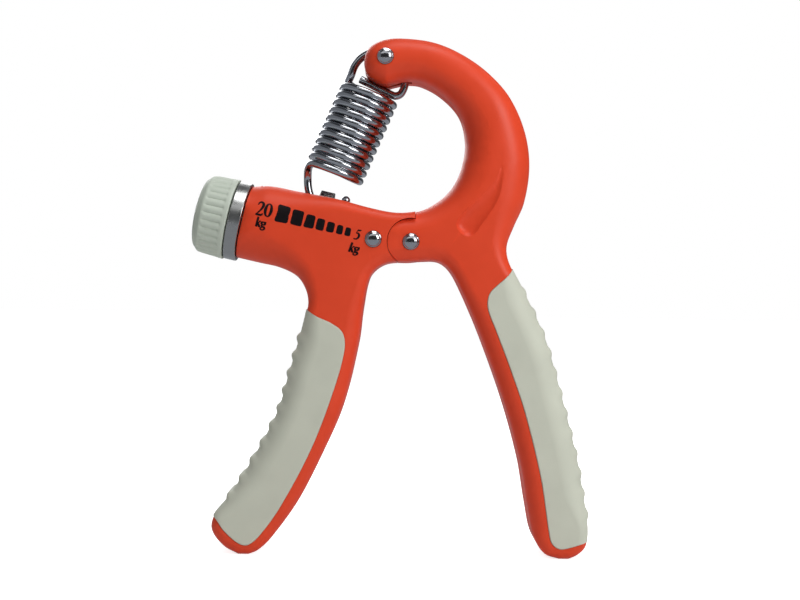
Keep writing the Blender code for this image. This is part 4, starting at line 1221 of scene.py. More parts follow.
print(f"the channel runs from {CHANNEL_START:.1f} to {BEARING_START - GAP:.1f} mm inside the arm")

# %% Mould and cut the fixed lever
SIDES = ((-1, "front"), (1, "back"))
for side, word in SIDES:
    half = half_lever("fixed_lever_" + word, LEFT_LINE, left_edge_radius, left_depth, side)
    seat = rivet_tool("rivet_seat", TONGUE_RIVET, side)
    carve(half, [copy_of(left_bed), *hinge_tools(), seat, *arm_tools()])
    dress(soften(half), "orange_plastic", "fixed_lever", "lever_left_" + word)
    print(half.name, len(half.data.polygons), "faces")
bpy.data.objects.remove(left_bed, do_unlink=True)

# %% [markdown]
# ## The moving lever
# The bow, the round knuckle at the hinge and the right handle are the second moulding. A leaf-shaped scoop
# thins the bow above the hinge. A cutter could carve it, but as part of the height map its rim stays sharp
# and its floor stays smooth.

# %% Detail lines for the scoop
SCOOP_INSETS = (-0.15, 0.35, 0.8, 1.4, 2.1)
SCOOP_SOUND = 0.97


def scoop_lines():
    """The scoop's rim and rings round it, where the rings keep their distance from the rim."""
    rim = SCOOP_LOOP[::-1]
    lines = [rim]
    for inset in SCOOP_INSETS:
        ring = moved_in(rim, inset)
        lines.append(ring[nearest_distance(rim, ring) > abs(inset) * SCOOP_SOUND])
    return lines


print("points in and round the scoop:", sum(len(line) for line in scoop_lines()))

# %% Where the spring's loop passes through the bow
SPRING_PIN = (-8.6, 55.9)
SPRING_TILT = math.radians(23.0)
HOOK_BOTTOM = (-25.9, 9.4)
LOOP_RADIUS = 8.4
LOOP_SLOT_HALF = 1.5


def loop_centre(travel=0.0):
    """The centre of the spring's upper loop, which hangs from its pin and swings with the carriage."""
    drop = math.hypot(SPRING_PIN[0] - HOOK_BOTTOM[0], SPRING_PIN[1] - HOOK_BOTTOM[1])
    hang = LOOP_RADIUS - WIRE_RADIUS - SHANK_RADIUS - GAP
    angle = SPRING_TILT + travel / drop
    return (SPRING_PIN[0] - hang * math.sin(angle), SPRING_PIN[1] - hang * math.cos(angle))


def loop_slot():
    """The slot that the loop needs at both ends of the carriage's way."""
    reach = LOOP_RADIUS + WIRE_RADIUS + SLIDE_GAP
    ways = capsule(loop_centre(CARRIAGE_OUT), loop_centre(-CARRIAGE_IN), reach)
    return extruded("loop_slot", ways, -LOOP_SLOT_HALF, LOOP_SLOT_HALF)


print("the loop hangs round", [round(v, 1) for v in loop_centre()])

# %% The knuckle, and the slot for the tongue in it
FORK_RADIUS = 7.7
KNUCKLE_POINTS = 81


def knuckle_tool():
    """All that lies left of the stop and outside the knuckle."""
    start = math.asin(STOP_X / KNUCKLE_RADIUS)
    angles = np.linspace(math.pi / 2 - start, 3 * math.pi / 2 + start, KNUCKLE_POINTS)
    knuckle = [(KNUCKLE_RADIUS * math.cos(a), KNUCKLE_RADIUS * math.sin(a)) for a in angles]
    line = [(STOP_X, PAST / 2)] + knuckle + [(STOP_X, -PAST / 2), (-PAST, -PAST / 2), (-PAST, PAST / 2)]
    return extruded("past_knuckle", line, -PAST, PAST)


def fork_tool():
    """The slot between the knuckle's two cheeks, which the tongue turns in."""
    return bar("fork_slot", FORK_RADIUS, TONGUE_ROOM, -TONGUE_ROOM, across((0.0, 0.0)))


print("the tongue's slot is", round(2 * TONGUE_ROOM, 1), "mm wide")

# %% Mould and cut the moving lever
for side, word in SIDES:
    half = half_lever("moving_lever_" + word, RIGHT_LINE, right_edge_radius, right_depth, side, scoop_lines())
    seats = [rivet_tool("pivot_seat", (0.0, 0.0), side), rivet_tool("spring_seat", SPRING_PIN, side)]
    carve(half, [copy_of(right_bed), knuckle_tool(), fork_tool(), loop_slot(), *seats])
    dress(soften(half), "orange_plastic", "moving_lever", "lever_right_" + word)
    print(half.name, len(half.data.polygons), "faces")
bpy.data.objects.remove(right_bed, do_unlink=True)

# %% [markdown]
# ## Rivets
# Three chromed rivets hold the halves together. A real one is a pin whose second head is pressed on at the
# end. A ball set into the face would look much the same, but it leaves no edge for the light. So a rivet is
# turned: a domed head on each face with a small bevel where its rim meets the seat, and a plain shank
# between.

# %% Turn the rivets
DOME_SHARE = 0.9
DOME_FOOT = 0.45
RIM_TOP = 0.3
RIM_BEVEL = 0.08
DOME_POINTS = 11


def rivet(name, centre, body, packed):
    """A shank with a domed head at each end, in place of a packed rivet."""
    seat = HALF_THICKNESS - HEAD_RECESS + GAP
    upper = [
        (HEAD_RADIUS * DOME_SHARE * math.sin(a), seat + DOME_FOOT + (HEAD_HEIGHT - DOME_FOOT) * math.cos(a))
        for a in np.linspace(0.0, math.pi / 2, DOME_POINTS)]
    upper += [
        (HEAD_RADIUS, seat + RIM_TOP), (HEAD_RADIUS, seat + RIM_BEVEL), (HEAD_RADIUS - RIM_BEVEL, seat),
        (SHANK_RADIUS, seat)]
    piece = turned(name, upper + [(r, -h) for r, h in upper[::-1]], across(centre), SMALL_SIDES)
    return dress(soften(piece), "chromed_steel", body, packed)


RIVETS = [
    rivet("rivet_tongue", TONGUE_RIVET, "fixed_lever", "tongue_rivet"),
    rivet("rivet_pivot", (0.0, 0.0), "moving_lever", "pivot_rivet"),
    rivet("rivet_spring", SPRING_PIN, "spring_head", "spring_rivet")]
print("rivets:", ", ".join(piece.name for piece in RIVETS))

# %% [markdown]
# ## Knob and collar
# The knob is moulded with shallow flutes between two plain bands, and a low dome on its face. Flutes could
# be cut one by one and repeated, but their ends fade out softly, which cutters don't do. So rings of many
# points follow the flutes, and a share at each ring says how deep they are there. The collar is a turned
# ring.

# %% A ring of the knob, and its rows from base to face
KNOB_BASE = 4.4
FLUTES = 32
FLUTE_DEPTH = 0.4
FLUTE_FULLNESS = 0.8
RING_POINTS = 12 * FLUTES
# Each row is a radius, a share of the flutes' depth, and a height above the knob's base.
KNOB_ROWS = [
    (12.2, 0.0, 0.0), (12.45, 0.0, 0.12), (12.5, 0.0, 0.35), (12.48, 0.0, 1.3), (12.44, 0.25, 1.55),
    (12.42, 0.7, 1.8), (12.40, 1.0, 2.1), (12.28, 1.0, 4.5), (12.16, 1.0, 6.6), (12.10, 0.7, 7.1),
    (12.05, 0.3, 7.5), (11.98, 0.0, 7.9), (11.80, 0.0, 8.3), (11.45, 0.0, 8.7)]
DOME_RADIUS = 10.9
DOME_START = 9.05
DOME_RISE = 2.05


def fluted_ring(radius, share, height):
    """A ring that dips between the flutes' ridges by a share of their depth."""
    angles = 2 * np.pi * np.arange(RING_POINTS) / RING_POINTS
    hollow = np.abs(np.sin(FLUTES / 2 * angles)) ** FLUTE_FULLNESS
    reach = (radius - FLUTE_DEPTH * share * (1 - hollow)) * MM
    return [(r * math.cos(a), r * math.sin(a), height * MM) for r, a in zip(reach, angles)]


print("each flute has", RING_POINTS // FLUTES, "points across")

# %% The fluted knob
# Each pocket has a radius and a depth.
WASHER_POCKET = (7.3, 1.6)
HEX_POCKET = (5.0, 4.6)
HEX_SIDES = 6
FACE_POINTS = 14


def make_knob():
    """The knob with its pockets for the washer and for the screw's hexagon, in the world's own axes."""
    rings = [fluted_ring(radius, share, KNOB_BASE + height) for radius, share, height in KNOB_ROWS]
    for a in np.linspace(0.0, math.pi / 2, FACE_POINTS)[:-1]:
        rings.append(fluted_ring(
            DOME_RADIUS * math.cos(a), 0.0, KNOB_BASE + DOME_START + DOME_RISE * math.sin(a)))
    knob = loft("fluted_knob", rings, SCREW_LINE)
    pocket = KNOB_BASE + WASHER_POCKET[1]
    carve(knob, [
        bar("washer_pocket", WASHER_POCKET[0], pocket, 0.0, SCREW_LINE),
        bar("hex_pocket", HEX_POCKET[0], pocket + HEX_POCKET[1], 0.0, SCREW_LINE, HEX_SIDES)])
    knob.data.transform(SCREW_LINE)
    knob.matrix_world = Matrix.Identity(4)
    return knob


knob = dress(soften(make_knob(), angle=40.0), "knob_plastic", "knob", "knob")
print("knob", len(knob.data.polygons), "faces")

# %% The collar
COLLAR_SECTION = [
    (BUSH_BORE, 4.1), (11.85, 4.1), (12.1, 4.0), (12.2, 3.8), (12.2, 0.6), (12.1, 0.4), (11.85, 0.3),
    (BUSH_BORE, 0.3)]
collar = turned("steel_collar", COLLAR_SECTION, SCREW_LINE, FINE_SIDES)
dress(soften(collar, angle=50.0), "brushed_steel", "fixed_lever", "collar")
print("collar", len(collar.data.polygons), "faces")

# %% [markdown]
# ## The lead screw
# Each turn of the knob moves the nut by one millimetre, so the thread has a pitch of one millimetre. A real
# thread is cut along a helix, and a swept profile would copy that. Here a thread is a radius that rises and
# falls once a pitch and is shifted by one pitch over a full turn, which closes into one skin with no seams.

# %% Cut the thread
SCREW_TIP = -34.65
SCREW_TOP = 6.2
SCREW_RADIUS = 3.0
SCREW_SIDES = 36
THREAD_PITCH = 1.0
THREAD_DEPTH = 0.55
ROWS_PER_PITCH = 8
TIP_FADE = 0.8
THREAD_END = (-4.0, -3.0)
HEX_SECTION = [(0.0, 10.2), (4.2, 10.2), (4.6, 9.9), (4.6, 5.9), (0.0, 5.9)]


def make_screw():
    """A threaded rod with a plain neck and a six-sided head."""
    rings = []
    for h in np.arange(SCREW_TIP, SCREW_TOP + 0.001, THREAD_PITCH / ROWS_PER_PITCH):
        fade = ease(h, SCREW_TIP, SCREW_TIP + TIP_FADE) * (1 - ease(h, *THREAD_END))
        ring = []
        for k in range(SCREW_SIDES):
            wave = abs(((h / THREAD_PITCH - k / SCREW_SIDES) % 1.0) * 2 - 1)
            radius = (SCREW_RADIUS - THREAD_DEPTH * fade * wave) * MM
            angle = 2 * math.pi * k / SCREW_SIDES
            ring.append((radius * math.cos(angle), radius * math.sin(angle), h * MM))
        rings.append(ring)
    screw = loft("lead_screw_threaded", rings, SCREW_LINE)
    return carve(screw, [turned("hex_head", HEX_SECTION, SCREW_LINE, HEX_SIDES)], "UNION")


lead_screw = dress(soften(make_screw(), angle=28.0), "plain_steel", "knob", "lead_screw")
print("lead screw", len(lead_screw.data.polygons), "faces")

# %% [markdown]
# ## The strap
# A strip of steel makes a bridge over the slot, and the spring's hook passes under it. It could be three
# plates joined up, but a bent strip has no joints. So it is one section, drawn once with sloped shoulders
# outside and small bends inside, and given its width.

# %% Bend the strap
STRAP_FOOT = 3.8
STRAP_CROWN = 13.6
STRAP_BEND = 0.4
BEND_STEPS = 4
STRAP_BEVEL = 0.18
# The shoulder on one side, from the foot up: across the arm, and the height above the screw.
SHOULDER = [
    (STRAP_OUTER, STRAP_FOOT), (STRAP_OUTER, 13.0), (STRAP_OUTER - 1.05, 14.35), (0.4, 15.15), (0.15, 15.25)]


def arc(centre, radius, start, end, steps):
    """Points on an arc between two angles."""
    angles = np.linspace(start, end, steps + 1)
    return [(centre[0] + radius * math.cos(a), centre[1] + radius * math.sin(a)) for a in angles]


def strap_section():
    """The strip's outline across the arm, outside and then back inside."""
    outside = [(-y, above) for y, above in SHOULDER] + SHOULDER[::-1]
    inner, bend = STRAP_INNER - STRAP_BEND, STRAP_CROWN - STRAP_BEND
    inside = arc((inner, bend), STRAP_BEND, 0.0, math.pi / 2, BEND_STEPS)
    inside += arc((-inner, bend), STRAP_BEND, math.pi / 2, math.pi, BEND_STEPS)
    return outside + [(STRAP_INNER, STRAP_FOOT)] + inside + [(-STRAP_INNER, STRAP_FOOT)]


def make_strap():
    """The section given its width along the arm, with a small bevel at both ends."""
    near, far = -CARRIAGE_REST - STRAP_LENGTH / 2, -CARRIAGE_REST + STRAP_LENGTH / 2
    ends = ((STRAP_BEVEL, near), (0.0, near + STRAP_BEVEL), (0.0, far - STRAP_BEVEL), (STRAP_BEVEL, far))
    rings = []
    for inset, z in ends:
        rings.append([(above * MM, y * MM, z * MM) for y, above in moved_in(strap_section(), inset)])
    return loft("slot_strap", rings, SCREW_LINE)


strap = dress(soften(make_strap(), angle=20.0), "brushed_steel", "carriage", "carriage_strap")
print("strap", len(strap.data.polygons), "faces")

# %% [markdown]
# ## The spring
# One wire makes the whole spring: a cut tail that lies across the top, a loop over the rivet, eleven close
# turns, and a hook that goes down into the slot. A screw modifier winds a coil, but not its ends, and the
# ends are what shows. So the centre line is worked out point by point and given a round section.

# %% The coil
WOUND_WIRE_RADIUS = 1.2
COIL_RADIUS = 8.3
COIL_TURNS = 11
COIL_PITCH = 2.57
COIL_LEAVE = 0.12
COIL_TOP = Vector((-13.2, 0.0, 47.0))
DOWN = Vector((-math.sin(SPRING_TILT), 0.0, -math.cos(SPRING_TILT)))
LEFT = Vector((-math.cos(SPRING_TILT), 0.0, math.sin(SPRING_TILT)))
BACK = Vector((0.0, 1.0, 0.0))


def coil(turn):
    """The point of the coil after this many turns."""
    angle = 2 * math.pi * turn
    reach = (LEFT * math.cos(angle) + BACK * math.sin(angle)) * COIL_RADIUS
    return COIL_TOP + DOWN * COIL_PITCH * turn + reach


def coil_heading(turn):
    """Which way the wire runs there."""
    return (coil(turn + TINY) - coil(turn - TINY)).normalized()


print("the turns take", round(COIL_PITCH * COIL_TURNS, 1), "mm of the spring's length")

# %% Arcs in the middle plane
LOOP_FIRST = math.radians(165.0)
LOOP_LAST = math.radians(-29.0)
CURL_RADIUS = 2.25
TAIL_HEADING = math.radians(154.5)
TAIL_LENGTH = 11.0
CURL_STEPS = 14


def flat_arc(centre, radius, start, end, steps):
    """An arc as points in the middle plane between front and back."""
    return [Vector((x, 0.0, z)) for x, z in arc(centre, radius, start, end, steps)]


def quarter_turn(start, end, first, steps=12):
    """A quarter of an ellipse whose first stretch runs along X or along Z."""
    points = []
    for angle in np.linspace(0.0, math.pi / 2, steps + 1)[1:]:
        late, early = math.sin(angle), 1 - math.cos(angle)
        share_x, share_z = (late, early) if first == "X" else (early, late)
        x = start[0] + (end[0] - start[0]) * share_x
        z = start[1] + (end[1] - start[1]) * share_z
        points.append(Vector((x, 0.0, z)))
    return points


def tail_points(loop_start):
    """The straight tail and the curl that joins it to the loop, from the wire's cut end on."""
    heading = LOOP_LAST - math.pi / 2
    across_wire = Vector((math.sin(heading), 0.0, -math.cos(heading)))
    centre = loop_start + across_wire * CURL_RADIUS
    start, end = heading + math.pi / 2, TAIL_HEADING - 1.5 * math.pi
    curl = flat_arc((centre.x, centre.z), CURL_RADIUS, start, end, CURL_STEPS)
    straight = Vector((math.cos(TAIL_HEADING), 0.0, math.sin(TAIL_HEADING)))
    return [curl[-1] + straight * TAIL_LENGTH * share for share in (1.0, 0.75, 0.5, 0.25)] + curl[::-1]


print(f"the loop goes {math.degrees(LOOP_FIRST - LOOP_LAST):.0f} degrees round")

# %% Tail, loop, coil and hook in one run
HOOK_LEFT = (-32.2, 19.0)
HOOK_TIP = (-20.45, 12.1)
BEND_REACH = COIL_RADIUS / 2
BEND_POINTS = 13
LOOP_STEPS = 48
STEPS_PER_TURN = 36


def spring_path():
    """The wire's centre line. Each bend leaves one stretch and meets the next along their own headings."""
    loop = flat_arc(loop_centre(), LOOP_RADIUS, LOOP_LAST, LOOP_FIRST, LOOP_STEPS)
    heading = Vector((-math.sin(LOOP_FIRST), 0.0, math.cos(LOOP_FIRST)))
    first, last = COIL_LEAVE, COIL_TURNS - COIL_LEAVE
    upper = interpolate_bezier(
        loop[-1], loop[-1] + heading * BEND_REACH,
        coil(first) - coil_heading(first) * BEND_REACH, coil(first), BEND_POINTS)
    winding = [coil(turn) for turn in np.linspace(first, last, round((last - first) * STEPS_PER_TURN) + 1)]
    hook_left = Vector((HOOK_LEFT[0], 0.0, HOOK_LEFT[1]))
    lower = interpolate_bezier(
        coil(last), coil(last) + coil_heading(last) * BEND_REACH,
        hook_left + Vector((0.0, 0.0, BEND_REACH / 2)), hook_left, BEND_POINTS)
    hook = quarter_turn(HOOK_LEFT, HOOK_BOTTOM, "Z") + quarter_turn(HOOK_BOTTOM, HOOK_TIP, "X")
    return tail_points(loop[0])[:-1] + loop + upper[1:-1] + winding + lower[1:] + hook


SPRING_PATH = spring_path()
print("points along the wire:", len(SPRING_PATH))

# %% Draw the wire along it
WIRE_SIDES = 18
WIRE_CUT_ANGLE = 50.0
# At the cut end: how far along the wire, and the share of its radius.
CUT_END = ((-0.3, 0.6), (-0.18, 0.88), (0.0, 1.0))
BALL_RADIUS = 1.42
BALL_LIFT = 0.8
BALL_ANGLES = (-30.0, -15.0, 0.0, 18.0, 36.0, 52.0, 67.0, 80.0)


def frames_along(path):
    """At each point the heading, and two directions across it that turn as little as they can."""
    last = len(path) - 1
    headings = [(path[min(i + 1, last)] - path[max(i - 1, 0)]).normalized() for i in range(len(path))]
    up = headings[0].orthogonal().normalized()
    frames = []
    for ahead in headings:
        up = (up - ahead * up.dot(ahead)).normalized()
        frames.append((ahead, up, ahead.cross(up)))
    return frames


def wire(name, path, radius):
    """A round wire, cut at its first end and upset to a ball at its last."""
    frames = frames_along(path)

    def ring(index, shift, share):
        ahead, up, side = frames[index]
        centre = path[index] + ahead * shift
        return [world(*(centre + (up * math.cos(a) + side * math.sin(a)) * radius * share))
                for a in np.linspace(0.0, 2 * math.pi, WIRE_SIDES, endpoint=False)]

    rings = [ring(0, shift, share) for shift, share in CUT_END]
    rings += [ring(i, 0.0, 1.0) for i in range(1, len(path) - 1)]
    for a in np.radians(BALL_ANGLES):
        rings.append(ring(-1, BALL_LIFT + BALL_RADIUS * math.sin(a), BALL_RADIUS * math.cos(a) / radius))
    return loft(name, rings)


spring = wire("chromed_spring", SPRING_PATH, WOUND_WIRE_RADIUS)
spring.data.shade_smooth()
spring.data.set_sharp_from_angle(angle=math.radians(WIRE_CUT_ANGLE))
spring.data.materials.append(FINISHES["chromed_steel"])
print("spring", len(spring.data.polygons), "faces")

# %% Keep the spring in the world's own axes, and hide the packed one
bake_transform(spring)
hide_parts("tension_spring")

# %% [markdown]
# ## The printed scale
# A black scale on the arm shows which way the pull grows: seven bars between the two weights, with plain
# figures. Ink has no thickness to speak of. A flat decal would stand off where the arm is round, so each
# mark is a skin a twentieth of a millimetre proud that follows the arm's face through the same height map.

# %% Ink that follows the arm
INK_PROUD = 0.05
INK_UNDER = 0.10
INK_STEP = 0.5


def ink_mark(shape, line):
    """Add one filled mark to a mesh, laid on the arm's front face."""
    line = np.asarray(line, float)
    columns, rows = [np.arange(line[:, axis].min(), line[:, axis].max(), INK_STEP) for axis in (0, 1)]
    grid = np.array([(x, z) for x in columns for z in rows])
    grid = grid[is_inside(line, grid)]
    if len(grid):
        grid = grid[nearest_distance(line, grid) > INK_STEP / 3]
    spots, faces = filled(line, grid)
    depths = left_depth(spots)
    tops, backs = [
        [shape.verts.new(world(x, lift - y, z)) for (x, z), y in zip(spots, depths)]
        for lift in (-INK_PROUD, INK_UNDER)]
    for face in faces:
        shape.faces.new([tops[i] for i in face])
        shape.faces.new([backs[i] for i in face][::-1])
    for a, b in rim_edges(faces):
        shape.faces.new((tops[a], tops[b], backs[b], backs[a]))


print("ink stands", INK_PROUD, "mm proud")

# %% Round corners
CORNER_POINTS = 6


def rounded(corners, radius):
    """A polygon with round corners."""
    line = []
    corners = [Vector(c) for c in corners]
    for i, corner in enumerate(corners):
        before, after = corners[i - 1], corners[(i + 1) % len(corners)]
        start = corner + (before - corner).normalized() * radius
        end = corner + (after - corner).normalized() * radius
        for t in np.linspace(0.0, 1.0, CORNER_POINTS):
            line.append(tuple(start * (1 - t) ** 2 + corner * 2 * t * (1 - t) + end * t ** 2))
    return line


print("a round corner takes", CORNER_POINTS, "points")

# %% The seven bars
BARS = [
    ((-40.02, 10.82), (-36.23, 9.68), (-37.40, 4.83), (-41.37, 5.52)),
    ((-35.56, 9.32), (-32.21, 8.51), (-33.18, 3.94), (-36.61, 4.79)),
    ((-31.36, 7.90), (-28.74, 7.26), (-29.55, 3.36), (-32.65, 3.98)),
    ((-28.17, 6.75), (-25.82, 6.23), (-26.52, 2.70), (-28.99, 3.32)),
    ((-25.06, 5.80), (-22.82, 5.20), (-23.49, 2.22), (-25.83, 2.70)),
    ((-22.09, 4.85), (-20.35, 4.44), (-20.82, 1.70), (-22.76, 2.14)),
    ((-19.57, 4.14), (-17.98, 3.73), (-18.42, 1.27), (-20.21, 1.59))]
CORNER_RADIUS = 0.75
CORNER_SHARE = 0.36


def make_bars():
    """Bars with round corners, which are smaller on the smaller bars."""
    shape = bmesh.new()
    for corners in BARS:
        shortest = min((Vector(a) - Vector(b)).length for a, b in zip(corners, corners[1:] + corners[:1]))
        ink_mark(shape, rounded(corners, min(CORNER_RADIUS, CORNER_SHARE * shortest)))
    return from_bmesh("scale_bars", shape)


print("the bars run over", round(BARS[-1][1][0] - BARS[0][3][0], 1), "mm of the arm")

# %% [markdown]
# The figures could be text objects, but those bring a font along. Here they are written as a sign painter
# would, in strokes of a flat pen, thick on the way down and thin across. Each stroke is a smooth line of
# points (x, height, width) on a unit high letter.

# %% Figures and letters as pen strokes
STROKES = {
    "2": [[(0.07, 0.74, 0.05), (0.12, 0.90, 0.08), (0.27, 0.98, 0.09), (0.43, 0.88, 0.13), (0.44, 0.68, 0.14),
           (0.32, 0.40, 0.09), (0.08, 0.06, 0.05)],
          [(0.03, 0.05, 0.10), (0.42, 0.05, 0.10), (0.52, 0.20, 0.04)]],
    "0": [[(0.27, 0.985, 0.05), (0.42, 0.84, 0.11), (0.48, 0.50, 0.15), (0.42, 0.16, 0.11),
           (0.27, 0.015, 0.05)],
          [(0.27, 0.985, 0.05), (0.12, 0.84, 0.11), (0.06, 0.50, 0.15), (0.12, 0.16, 0.11),
           (0.27, 0.015, 0.05)]],
    "5": [[(0.14, 0.95, 0.10), (0.34, 0.94, 0.11), (0.50, 1.00, 0.05)],
          [(0.17, 0.95, 0.05), (0.11, 0.62, 0.05)],
          [(0.11, 0.62, 0.06), (0.26, 0.64, 0.10), (0.42, 0.52, 0.14), (0.44, 0.28, 0.15), (0.30, 0.07, 0.10),
           (0.10, 0.04, 0.08), (0.03, 0.09, 0.09)]],
    "k": [[(0.12, 1.00, 0.13), (0.12, 0.50, 0.13), (0.12, 0.02, 0.13)],
          [(0.01, 0.99, 0.06), (0.13, 1.00, 0.06)],
          [(0.00, 0.03, 0.06), (0.25, 0.03, 0.06)], [(0.15, 0.26, 0.06), (0.42, 0.62, 0.06)],
          [(0.30, 0.64, 0.05), (0.52, 0.64, 0.05)], [(0.23, 0.38, 0.10), (0.46, 0.04, 0.14)],
          [(0.33, 0.03, 0.06), (0.56, 0.03, 0.06)]],
    "g": [[(0.22, 0.65, 0.06), (0.38, 0.56, 0.12), (0.40, 0.42, 0.13), (0.22, 0.29, 0.06)],
          [(0.22, 0.65, 0.06), (0.08, 0.56, 0.12), (0.06, 0.42, 0.13), (0.22, 0.29, 0.06)],
          [(0.36, 0.60, 0.08), (0.52, 0.64, 0.09)],
          [(0.16, 0.30, 0.07), (0.09, 0.19, 0.09), (0.22, 0.12, 0.10)],
          [(0.20, 0.12, 0.10), (0.40, 0.08, 0.12), (0.47, -0.06, 0.11), (0.30, -0.23, 0.07)],
          [(0.32, -0.23, 0.07), (0.10, -0.20, 0.08), (0.05, -0.06, 0.08), (0.20, 0.08, 0.06)]]}
print("strokes:", {letter: len(strokes) for letter, strokes in STROKES.items()})

# %% One stroke of the pen
STEPS_ALONG = 5


def pen_stroke(knots, bold):
    """The outline of one stroke: its smooth line, moved half a width to both sides."""
    line = np.array(knots, float)
    spans = len(knots) - 1
    if spans > 1:
        slopes = np.gradient(line, axis=0)
        points = []
        for place in np.linspace(0, spans, spans * STEPS_ALONG + 1):
            i = min(int(place), spans - 1)
            t = place - i
            a, b, c, d = 2 * t**3 - 3 * t**2 + 1, t**3 - 2 * t**2 + t, -2 * t**3 + 3 * t**2, t**3 - t**2
            points.append(line[i] * a + slopes[i] * b + line[i + 1] * c + slopes[i + 1] * d)
        line = np.array(points)
    out = outwards(line[:, :2]) * line[:, 2:] * bold / 2
    return np.concatenate([line[:, :2] + out, (line[:, :2] - out)[::-1]])


print("points round the bowl of the 5:", len(pen_stroke(STROKES["5"][2], 1.0)))

# %% Write the figures, and print them with the bars


def write(shape, text, start, height, tilt, spread=0.56, slant=0.0, bold=1.45):
    """Figures from a lower left point, tilted with the arm. Bold is how much wider the strokes are drawn."""
    turn = math.radians(tilt)
    for number, letter in enumerate(text):
        for stroke in STROKES[letter]:
            line = pen_stroke(stroke, bold)
            line = np.stack([line[:, 0] + number * spread + slant * line[:, 1], line[:, 1]], axis=1) * height
            x = start[0] + line[:, 0] * math.cos(turn) - line[:, 1] * math.sin(turn)
            z = start[1] + line[:, 0] * math.sin(turn) + line[:, 1] * math.cos(turn)
            ink_mark(shape, np.stack([x, z], axis=1))


def make_figures():
    """The two weights and their units."""
    shape = bmesh.new()
    write(shape, "20", (-47.15, 7.5), 4.2, -12.0, spread=0.60)
    write(shape, "kg", (-47.1, 4.0), 2.85, -14.0, bold=1.85)
    write(shape, "5", (-17.45, 0.55), 3.1, -12.0, slant=0.12)
    write(shape, "kg", (-18.95, -3.2), 2.85, -13.0, slant=0.12, bold=1.85)
    return from_bmesh("scale_figures", shape)


for mark in (make_bars(), make_figures()):
    mark.data.materials.append(FINISHES["black_ink"])
    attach(mark, "fixed_lever")
    print(mark.name, len(mark.data.polygons), "faces")

# %% [markdown]
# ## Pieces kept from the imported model
# The tongue, bushes, bearing, washer, clip and nut sit inside the arm and the hinge, where nobody sees more
# than an edge of them. They could be drawn again, but they are already right, so they only get their
# finishes.

# %% Finish the inner pieces
KEPT = {
    "hinge_tongue": "plain_steel", "pivot_bush": "white_nylon", "screw_bush": "white_nylon",
    "end_bearing": "white_nylon", "thrust_washer": "brushed_steel", "retaining_clip": "plain_steel",
    "carriage_nut": "plain_steel"}
for name, finish in KEPT.items():
    mesh = frame["nodes"][name].data
    mesh.materials.clear()
    mesh.materials.append(FINISHES[finish])
print("kept:", ", ".join(KEPT))

# %% [markdown]
# ## The studio
# The photograph is a catalogue picture: white all round and light from above. More light on the object
# would bleach it, so the floor and the world are white only where the camera, a reflection or glass looks
# at them, and the floor keeps a faint shadow. Steel shows what is round it, and in an all white room it
# would look like plaster. So plain grey cards stand all round and lie on the floor, as photographers do for
# chrome, and only reflections see them.

# %% A white that only the eye sees
WHITE = (1.0, 1.0, 1.0, 1.0)
FLOOR_GREY = (0.80, 0.80, 0.80, 1.0)
FLOOR_ROUGHNESS = 0.9
FLOOR_GLOW = 0.80


def seen_directly(tree):
    """1 for what the camera sees, straight on, in a reflection or through glass."""
    path = node(tree, "ShaderNodeLightPath")
    seen = path.outputs["Is Camera Ray"]
    for ray in ("Is Glossy Ray", "Is Transmission Ray"):
        seen = arithmetic(tree, "MAXIMUM", seen, path.outputs[ray])
    return seen


def studio_white():
    """A floor that glows for the eye only and is a plain pale one for the light."""
    finish = bpy.data.materials.new("studio_white")
    finish.use_nodes = True
    tree = finish.node_tree
    shader = tree.nodes["Principled BSDF"]
    shader.inputs["Base Color"].default_value = FLOOR_GREY
    shader.inputs["Roughness"].default_value = FLOOR_ROUGHNESS
    shader.inputs["Emission Color"].default_value = WHITE
    glow = arithmetic(tree, "MULTIPLY", seen_directly(tree), FLOOR_GLOW)
    tree.links.new(glow, shader.inputs["Emission Strength"])
    return finish


print("the floor glows at", FLOOR_GLOW, "for the eye and is a grey of", FLOOR_GREY[0], "for the light")

# %% Floor and background
ROOM_LIGHT = 0.22
FLOOR_SIZE = (12.0, 12.0)


def stage_plane(name, size, place, finish):
    """A flat panel of the studio, which is no part of the object."""
    shape = bmesh.new()
    bmesh.ops.create_grid(shape, x_segments=1, y_segments=1, size=0.5)
    panel = from_bmesh(name, shape, place @ Matrix.Diagonal((size[0], size[1], 1.0, 1.0)))
    panel.data.materials.append(finish)
    return panel


def make_world():
    """A white background that lights the object only a little."""
    room = bpy.data.worlds.new("studio")
    bpy.context.scene.world = room
    room.use_nodes = True
    tree = room.node_tree
    sky = tree.nodes["Background"]
    sky.inputs["Color"].default_value = WHITE
    level = stretched(tree, seen_directly(tree), 0.0, 1.0, ROOM_LIGHT, 1.0)
    tree.links.new(level, sky.inputs["Strength"])


stage_plane("studio_floor", FLOOR_SIZE, Matrix.Identity(4), studio_white())
make_world()
print("the floor is", FLOOR_SIZE[0], "m wide")

# %% Cards that only reflections see
CARD_TINT = (0.94, 0.98, 1.06)
CARD_BLACK = (0.02, 0.02, 0.02, 1.0)


def make_card(name, level):
    """A card of one even grey in reflections, and clear to everything else."""
    finish = bpy.data.materials.new(name)
    finish.use_nodes = True
    tree = finish.node_tree
    shader = tree.nodes["Principled BSDF"]
    shader.inputs["Base Color"].default_value = CARD_BLACK
    shader.inputs["Specular IOR Level"].default_value = 0.0
    shader.inputs["Emission Color"].default_value = (*(level * tint for tint in CARD_TINT), 1.0)
    shader.inputs["Emission Strength"].default_value = 1.0
    glossy = node(tree, "ShaderNodeLightPath").outputs["Is Glossy Ray"]
    clear = node(tree, "ShaderNodeBsdfTransparent")
    mix = node(tree, "ShaderNodeMixShader", i0=glossy, i1=clear.outputs[0], i2=shader.outputs[0])
    tree.links.new(mix.outputs[0], tree.nodes["Material Output"].inputs["Surface"])
    return finish


